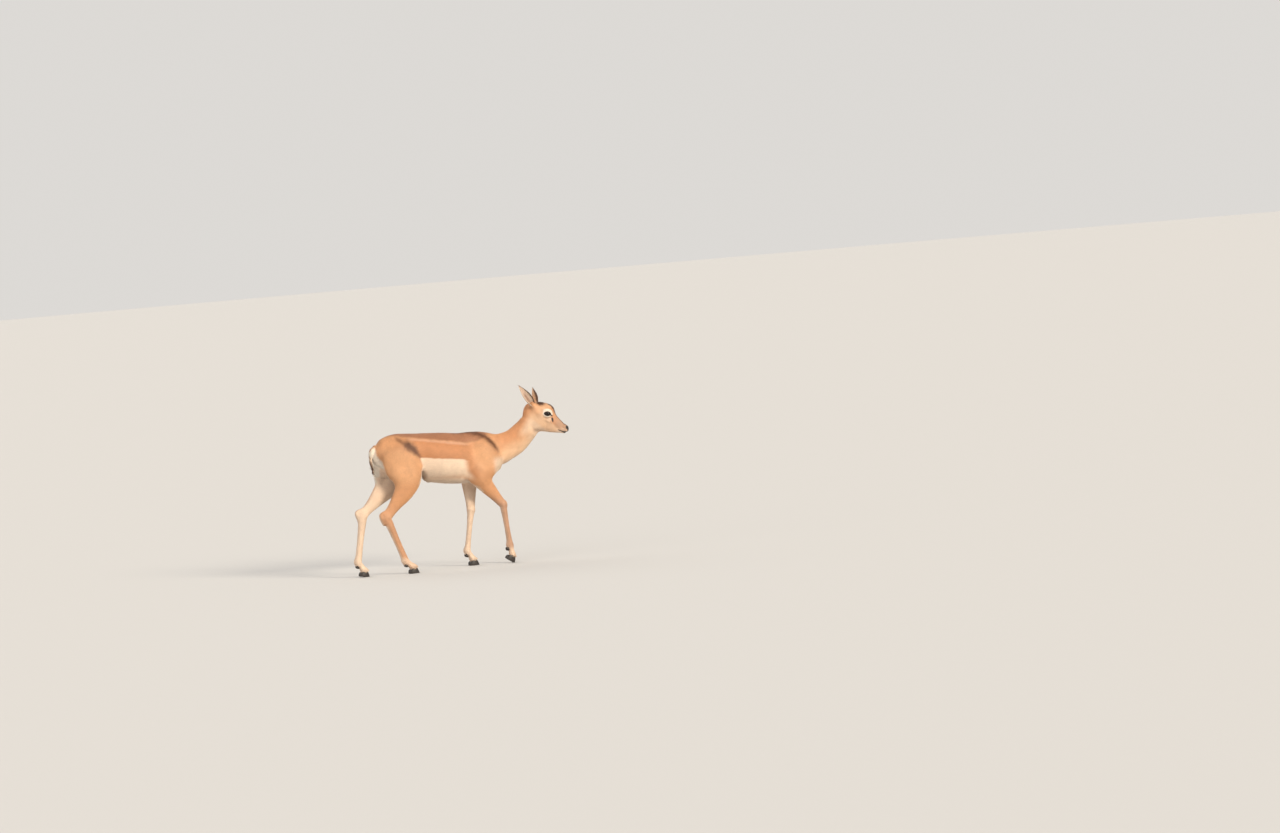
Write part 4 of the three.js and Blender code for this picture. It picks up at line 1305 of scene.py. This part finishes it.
def settings_of(context):
    """The settings, and the coat's colours by name."""
    settings = context.scene.blackbuck
    return settings, {name: np.array(getattr(settings, name)) for name in TINTS}


def millimetres(length):
    """A setting's length in mm, at a setting's precision."""
    return float(np.float32(round(length * MM, 6)))


def ear_unwrap(ear_place):
    """Place on an ear as (round, along), with the outer side first and then the inner one."""
    t, front, inside = ear_place.T
    return np.column_stack([0.25 * front + 0.25 + 0.5 * inside, t])


class BLACKBUCK_OT_skin(bpy.types.Operator):
    """One skin over the whole animal, ears included"""

    bl_idname = "blackbuck.skin"
    bl_label = "Skin"

    def execute(self, context):
        settings, tint = settings_of(context)
        depths = [millimetres(getattr(settings, f"{part}_depth")) for part in ("body", "leg", "head")]
        coarse, fine = millimetres(settings.coarse), millimetres(settings.fine)

        def form(p):
            return skin_distance(p, depths)

        def pitch(axis, place):
            if axis == 1:
                return fine * 1.4
            start = HEAD_BEGINS[axis]
            return mix(coarse, fine, float(ramp(place, start - 25, start + 15)))

        points, quads = surface_of(form, *SKIN_BOX, pitch)
        points, quads = self.refine(points, quads)
        points, normals = settle(form, points)
        a, b, c = (points[quads[:, k]] for k in range(3))
        if (np.cross(b - a, c - a) * normals[quads[:, 0]]).sum() < 0:
            quads = quads[:, ::-1]
        region, place, flow = survey(points, normals)
        ear_place = np.zeros((len(points), 3))
        triangles = np.vstack([quads[:, [0, 1, 2]], quads[:, [0, 2, 3]]])
        triangles = triangles[triangles[:, 0] != triangles[:, 2]]
        parts = [(points, triangles)]
        for name, (side, lean) in EARS.items():
            thickness = millimetres(settings.ear_thickness)
            ear_points, faces, places, along = make_ear(side, lean, thickness)
            parts.append((ear_points, faces))
            ear_normals = self.normals(ear_points, faces)
            normals = np.vstack([normals, ear_normals])
            lie = along - (ear_normals @ along)[:, None] * ear_normals
            flow = np.vstack([flow, unit(lie)])
            region = np.append(region, np.full(len(ear_points), REGION[f"ear_{name}"]))
            ear_place = np.vstack([ear_place, places])
            place = np.vstack([place, np.clip(ear_unwrap(places), 0, 1)])
        points, triangles = join_meshes(parts)
        colour = markings(points, normals, region, place, ear_place, tint)
        skin = new_object("skin", points, triangles, hair_material("skin_hair", 0.5))
        # Painted shade: the skin is painted at 0.92 of the coat's colour, as shade beneath the tufts.
        store(skin.data, "marking", "FLOAT_COLOR", colour * 0.92)
        store(skin.data, "region", "INT", region)
        store(skin.data, "place", "FLOAT_VECTOR", ear_place)
        store(skin.data, "flow", "FLOAT_VECTOR", flow)
        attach(skin, "root")
        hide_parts(*ANIMAL_NODES)
        return {"FINISHED"}

    @staticmethod
    def normals(points, faces):
        a, b, c = (points[faces[:, k]] for k in range(3))
        total = np.zeros_like(points)
        for k in range(3):
            np.add.at(total, faces[:, k], np.cross(b - a, c - a))
        return unit(total)

    @staticmethod
    def refine(points, quads):
        """Halves the spacing round the eyes, nose and mouth, and again close to them.

        A face with three corners has its last one twice.
        """
        made = bmesh.new()
        for p in points:
            made.verts.new(p)
        made.verts.ensure_lookup_table()
        for quad in quads:
            corners = list(dict.fromkeys(quad.tolist()))
            if len(corners) > 2:
                made.faces.new([made.verts[k] for k in corners])
        for eye_reach, nose_from in ((13, 132), (5, 158)):
            centres = np.array([face.calc_center_median() for face in made.faces])
            q = to_head(centres)
            rim, _ = lid_distance(q)
            wanted = rim < eye_reach
            wanted |= (q[:, 0] > nose_from) & (centres[:, 2] > 540)
            faces = [face for face, want in zip(made.faces, wanted) if want]
            edges = list({edge for face in faces for edge in face.edges})
            bmesh.ops.subdivide_edges(made, edges=edges, cuts=1, use_grid_fill=True)
        many = [face for face in made.faces if len(face.verts) > 4]
        bmesh.ops.triangulate(made, faces=many)
        made.verts.index_update()
        points = np.array([vert.co for vert in made.verts])
        corners = [[vert.index for vert in face.verts] for face in made.faces]
        made.free()
        return points, np.array([c if len(c) == 4 else [c[0], c[1], c[2], c[2]] for c in corners])


class BLACKBUCK_OT_coat(bpy.types.Operator):
    """Short tufts all over the skin, lying along the body"""

    bl_idname = "blackbuck.coat"
    bl_label = "Coat"

    def execute(self, context):
        settings, tint = settings_of(context)
        rng = np.random.default_rng(7)
        p, normal, lie, region, place, ear_spot = self.roots(bpy.data.objects["skin"].data, rng)
        q = to_head(p)
        keep = np.flatnonzero(~self.bare(p, q))
        p, q, normal, lie = p[keep], q[keep], normal[keep], lie[keep]
        region, place, ear_spot = region[keep], np.clip(place[keep], 0, 1), ear_spot[keep]

        colour = markings(p, normal, region, place, ear_spot, tint)
        length = hair_length(p, normal, region, ear_spot)
        table = HAIR_OF_REGION[region]
        thin = np.clip(length / table[:, LENGTH], 0.5, 1.15)
        on_ear, on_tail = region >= REGION["ear_left"], region == REGION["tail"]
        lift = settings.lift * (1 + 0.35 * noise(p, 9, 30)) * np.where(on_ear, 1.3, 1)
        lift = lift * np.where(on_tail, 0.7, 1)
        width, height = table[:, WIDTH] * thin, table[:, HEIGHT] * thin

        material = hair_material("coat_hair", 0.35)
        for name, mine in self.groups(region, p, q).items():
            own = np.flatnonzero(mine)
            rows = (v[own] for v in (p, normal, lie, length, width, height, lift, colour))
            made = tufts(*rows, rng)
            unwrap = place[own]
            if name == "coat_ears":
                unwrap[:, 1] = unwrap[:, 1] / 2 + (region[own] == REGION["ear_right"]) / 2
            coat_piece(name, made, unwrap, material)
            print(name, len(own), "tufts")
        return {"FINISHED"}

    @staticmethod
    def roots(mesh, rng):
        """Spreads roots over the skin: place, normal, lie of the hair, region and unwraps."""
        points = fetch(mesh.vertices, "co", 3) * MM + CENTRE
        normals = fetch(mesh.vertices, "normal", 3)
        mesh.calc_loop_triangles()
        corners = fetch(mesh.loop_triangles, "vertices", 3, np.int32)
        region = fetch(mesh.attributes["region"].data, "value", 1)[:, 0].astype(int)
        flow = fetch(mesh.attributes["flow"].data, "vector", 3)
        ear_place = fetch(mesh.attributes["place"].data, "vector", 3)

        a, b, c = (points[corners[:, k]] for k in range(3))
        area = np.linalg.norm(np.cross(b - a, c - a), axis=1) / 2
        face_region = region[corners[:, 0]]
        middle = (a + b + c) / 3
        crowd = 1 + 1.1 * ramp(middle[:, 2], 60, 40) * (middle[:, 2] < 90)
        reach = np.cumsum(area / HAIR_OF_REGION[face_region, AREA] * crowd)
        total = int(reach[-1])
        pick = np.searchsorted(reach, np.arange(total) + rng.random(total))
        pick = np.minimum(pick, len(corners) - 1)
        r1, r2 = np.sqrt(rng.random(total)), rng.random(total)
        shares = np.column_stack([1 - r1, r1 * (1 - r2), r1 * r2])[:, :, None]

        def sampled(values):
            return (values[corners[pick]] * shares).sum(1)

        p, normal = sampled(points), unit(sampled(normals))
        lie, ear_spot = sampled(flow), sampled(ear_place)
        region = face_region[pick]
        place = ear_unwrap(ear_spot)
        rest = np.flatnonzero(region < REGION["ear_left"])
        region[rest], place[rest], lie[rest] = survey(p[rest], normal[rest])
        lie = unit(lie - (lie * normal).sum(1)[:, None] * normal)
        return p, normal, lie, region, place, ear_spot

    @staticmethod
    def bare(p, q):
        """Where no hair grows: lids, tear glands, nose and everything under the coronets."""
        rim, _ = lid_distance(q)
        on_head = (q[:, 0] > 30) & (p[:, 2] > 540)
        bare = on_head & ((bare_marks(q, rim) > 0.4) | (nose_pad(q) > 0.4))
        for leg, limb in zip(LEGS.values(), limbs.values()):
            at, down = coronet_plane(leg, limb["joints"][0])
            bare |= (np.linalg.norm(p - at, axis=1) < 40) & ((p - at) @ down > 0.5)
        return bare

    @staticmethod
    def groups(region, p, q):
        """Which roots make up each piece of coat, by the piece's name."""
        groups = {}
        front, left = p[:, 0] > 95, p[:, 1] > 0
        for name, number in REGION.items():
            mine = region == number
            if name == "trunk":
                for end, far in (("front", front), ("back", ~front)):
                    for side, near in (("left", left), ("right", ~left)):
                        groups[f"coat_trunk_{end}_{side}"] = mine & far & near
            elif name == "head":
                groups["coat_head_left"] = mine & (q[:, 1] > 0)
                groups["coat_head_right"] = mine & (q[:, 1] <= 0)
            elif name.startswith("ear"):
                groups["coat_ears"] = groups.get("coat_ears", False) | mine
            else:
                groups[f"coat_{name}"] = mine
        return groups


class BLACKBUCK_OT_eyes(bpy.types.Operator):
    """Eyeballs with a low cornea"""

    bl_idname = "blackbuck.eyes"
    bl_label = "Eyes"

    def execute(self, context):
        settings, _ = settings_of(context)
        material = eye_material(settings)
        for name, side in (("left", 1), ("right", -1)):
            centre, ahead, above, out = eye_frame(side)
            rings, iris = [], []
            for tilt in np.linspace(0.02, math.pi - 0.02, 36):
                turns = np.linspace(0, 2 * math.pi, 48, endpoint=False)
                radius = EYE["radius"] + 0.5 * math.exp(-((tilt / 0.75) ** 4)) - 0.1
                wide = radius * math.sin(tilt)
                flat = wide * np.cos(turns)[:, None] * ahead + wide * np.sin(turns)[:, None] * above
                rings.append(centre + flat + radius * math.cos(tilt) * out)
                iris.append(np.column_stack([wide * np.cos(turns), wide * np.sin(turns), 0 * turns]))
            points, faces = ring_mesh(np.array(rings))
            eye = new_object(f"eyeball_{name}", from_head(points), faces, material)
            store(eye.data, "iris", "FLOAT_VECTOR", np.vstack([np.vstack(iris), np.zeros((2, 3))]))
            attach(eye, "root")
            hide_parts(f"eye_{name}")
        return {"FINISHED"}


class BLACKBUCK_OT_hooves(bpy.types.Operator):
    """Two claws and two dewclaws on each foot"""

    bl_idname = "blackbuck.hooves"
    bl_label = "Hooves"

    def claw(self, leg, toe, outward):
        rings = []
        turns = np.linspace(0, 2 * math.pi, 40, endpoint=False)
        levels = [0, 0, 0.03, *np.linspace(0.08, 0.95, 12), 1, 1.02, 1.02]
        insets = [0.86, 0.97, 1, *[1] * 12, 0.97, 0.9, 0.6]
        for level, inset in zip(levels, insets):
            reach = mix(CLAW["length"] / 2, 15, level)
            centre = mix(-CLAW["length"] / 2, -CLAW["back"], level)
            taper = mix(1 - 0.42 * np.cos(turns), 1 - 0.12 * np.cos(turns), level)
            bulge = (1 + 0.35 * level * (1 - level)) * inset
            slope = math.tan(math.radians(CLAW["slope"]))
            rise = level * (CLAW["rise"] + slope * 15 * np.cos(turns))
            growth = 1 + 0.006 * math.sin(38 * level)
            rings.append(np.column_stack([
                centre + bulge * growth * reach * np.cos(turns),
                0.86 * bulge * growth * taper * CLAW["half_width"] * np.sin(turns) + outward * CLAW["out"],
                rise,
            ]))
        points, faces = ring_mesh(np.array(rings))
        points = place_on_foot(points, leg, toe)
        points[:, 2] = np.maximum(points[:, 2], 0)
        return points, faces

    def dewclaw(self, joints, outward):
        _, coronet, fetlock = joints[:3]
        down = unit(coronet - fetlock)
        backward = vec(down[2], 0, -down[0])
        at = mix(fetlock, coronet, 0.34) + 16 * backward + vec(0, outward * 9, 0)
        rings = []
        turns = np.linspace(0, 2 * math.pi, 20, endpoint=False)[:, None]
        for tilt in np.linspace(0.05, math.pi - 0.05, 14):
            wide = math.sin(tilt) * (1 + 0.12 * math.cos(tilt))
            ring = at - down * 8.5 * math.cos(tilt)
            rings.append(ring + 6 * wide * np.cos(turns) * backward + 5 * wide * np.sin(turns) * vec(0, 1, 0))
        return ring_mesh(np.array(rings))

    def execute(self, context):
        settings, _ = settings_of(context)
        material = hoof_material(settings)
        for kind, maker in (("hoof", "claw"), ("dewclaw", "dewclaw")):
            parts, nodes = [], []
            for name, leg in LEGS.items():
                joints = limbs[name]["joints"]
                for where, outward in (("outer", leg["side"]), ("inner", -leg["side"])):
                    nodes.append(f"{name}_{kind}_{where}")
                    if maker == "claw":
                        parts.append(self.claw(leg, joints[0], outward))
                    else:
                        parts.append(self.dewclaw(joints, outward))
            points, faces = join_meshes(parts)
            made = new_object(f"{kind}_horn", points, faces, material)
            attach(made, "root")
            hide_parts(*nodes)
        return {"FINISHED"}


class BLACKBUCK_OT_stage(bpy.types.Operator):
    """Pale floor, soft light and a camera with the photo's framing"""

    bl_idname = "blackbuck.stage"
    bl_label = "Stage"

    def execute(self, context):
        settings, _ = settings_of(context)
        self.add_floor(settings)
        self.add_lights(context)
        self.add_camera(context, settings)
        return {"FINISHED"}

    def add_floor(self, settings):
        turns = np.linspace(0, 2 * math.pi, FLOOR_SIDES, endpoint=False)
        circle = np.column_stack([np.cos(turns), np.sin(turns), 0 * turns])
        points = np.vstack([radius * circle for radius in FLOOR_RINGS]) * MM + CENTRE
        faces = []
        for ring in range(len(FLOOR_RINGS) - 1):
            for s in range(FLOOR_SIDES):
                inner, n = ring * FLOOR_SIDES, (s + 1) % FLOOR_SIDES
                outer = inner + FLOOR_SIDES
                faces.append((inner + s, outer + s, outer + n, inner + n))
        constants = {"Roughness": 0.9, "Base Color": (*settings.floor_colour, 1)}
        material, _, _ = new_material("studio_floor", constants)
        new_object("studio_floor", points, np.array(faces), material)

    def add_lights(self, context):
        world = bpy.data.worlds.new("studio")
        world.use_nodes = True
        background = world.node_tree.nodes["Background"]
        background.inputs["Color"].default_value = (*WORLD["colour"], 1)
        background.inputs["Strength"].default_value = WORLD["strength"]
        context.scene.world = world
        context.scene.view_settings.view_transform = "Standard"
        for name, (place, strength, colour, spread) in LIGHTS.items():
            light = bpy.data.lights.new(name, "SUN")
            light.energy = strength
            light.color = colour
            light.angle = math.radians(spread)
            lamp = bpy.data.objects.new(name, light)
            lamp.rotation_mode = "QUATERNION"
            lamp.rotation_quaternion = Vector(-unit(np.array(place))).to_track_quat("-Z", "Y")
            context.scene.collection.objects.link(lamp)

    def add_camera(self, context, settings):
        """Puts the ground between the feet where the photo has it, at its scale and slant."""
        width, height = PHOTO["size"]
        focal = settings.lens / SENSOR * width
        elevation, slant = math.radians(PHOTO["down"]), math.radians(PHOTO["slant"])
        ground = np.array([0.0, 0.0, 9.0]) - CENTRE
        east, north = PHOTO["heading"]
        heading = vec(east, north, 0)
        ahead = heading * math.cos(elevation) - vec(0, 0, math.sin(elevation))
        across = vec(north, -east, 0)
        above = heading * math.sin(elevation) + vec(0, 0, math.cos(elevation))
        right = across * math.cos(slant) - above * math.sin(slant)
        up = across * math.sin(slant) + above * math.cos(slant)
        column, row = PHOTO["feet"]
        seen = ((column - width / 2) / focal, -(row - height / 2) / focal)
        place = ground / MM - ahead * focal / PHOTO["scale"]
        axis = unit(ahead - seen[0] * right - seen[1] * up)
        right = unit(right - (right @ axis) * axis)
        up = np.cross(right, axis)
        camera = bpy.data.cameras.new("camera")
        camera.lens = settings.lens
        camera.sensor_width = SENSOR
        camera.clip_end = 400
        made = bpy.data.objects.new("camera", camera)
        matrix = np.eye(4)
        matrix[:3, :] = np.column_stack([right, up, -axis, place])
        made.matrix_world = Matrix(matrix.tolist())
        context.scene.collection.objects.link(made)
        context.scene.camera = made


class BLACKBUCK_PT_panel(bpy.types.Panel):
    """Sizes, colours and one button for each group of pieces"""

    bl_label = "Young blackbuck"
    bl_space_type = "VIEW_3D"
    bl_region_type = "UI"
    bl_category = "Blackbuck"

    def draw(self, context):
        for name in BlackbuckSettings.__annotations__:
            self.layout.prop(context.scene.blackbuck, name)
        for operator in OPERATORS:
            self.layout.operator(operator.bl_idname)


OPERATORS = [BLACKBUCK_OT_skin, BLACKBUCK_OT_coat, BLACKBUCK_OT_eyes, BLACKBUCK_OT_hooves, BLACKBUCK_OT_stage]
CLASSES = [BlackbuckSettings, *OPERATORS, BLACKBUCK_PT_panel]


def register():
    for cls in CLASSES:
        bpy.utils.register_class(cls)
    bpy.types.Scene.blackbuck = bpy.props.PointerProperty(type=BlackbuckSettings)


def unregister():
    del bpy.types.Scene.blackbuck
    for cls in reversed(CLASSES):
        bpy.utils.unregister_class(cls)


def main():
    register()
    for operator in OPERATORS:
        group, name = operator.bl_idname.split(".")
        getattr(getattr(bpy.ops, group), name)()


if __name__ == "__main__":
    main()
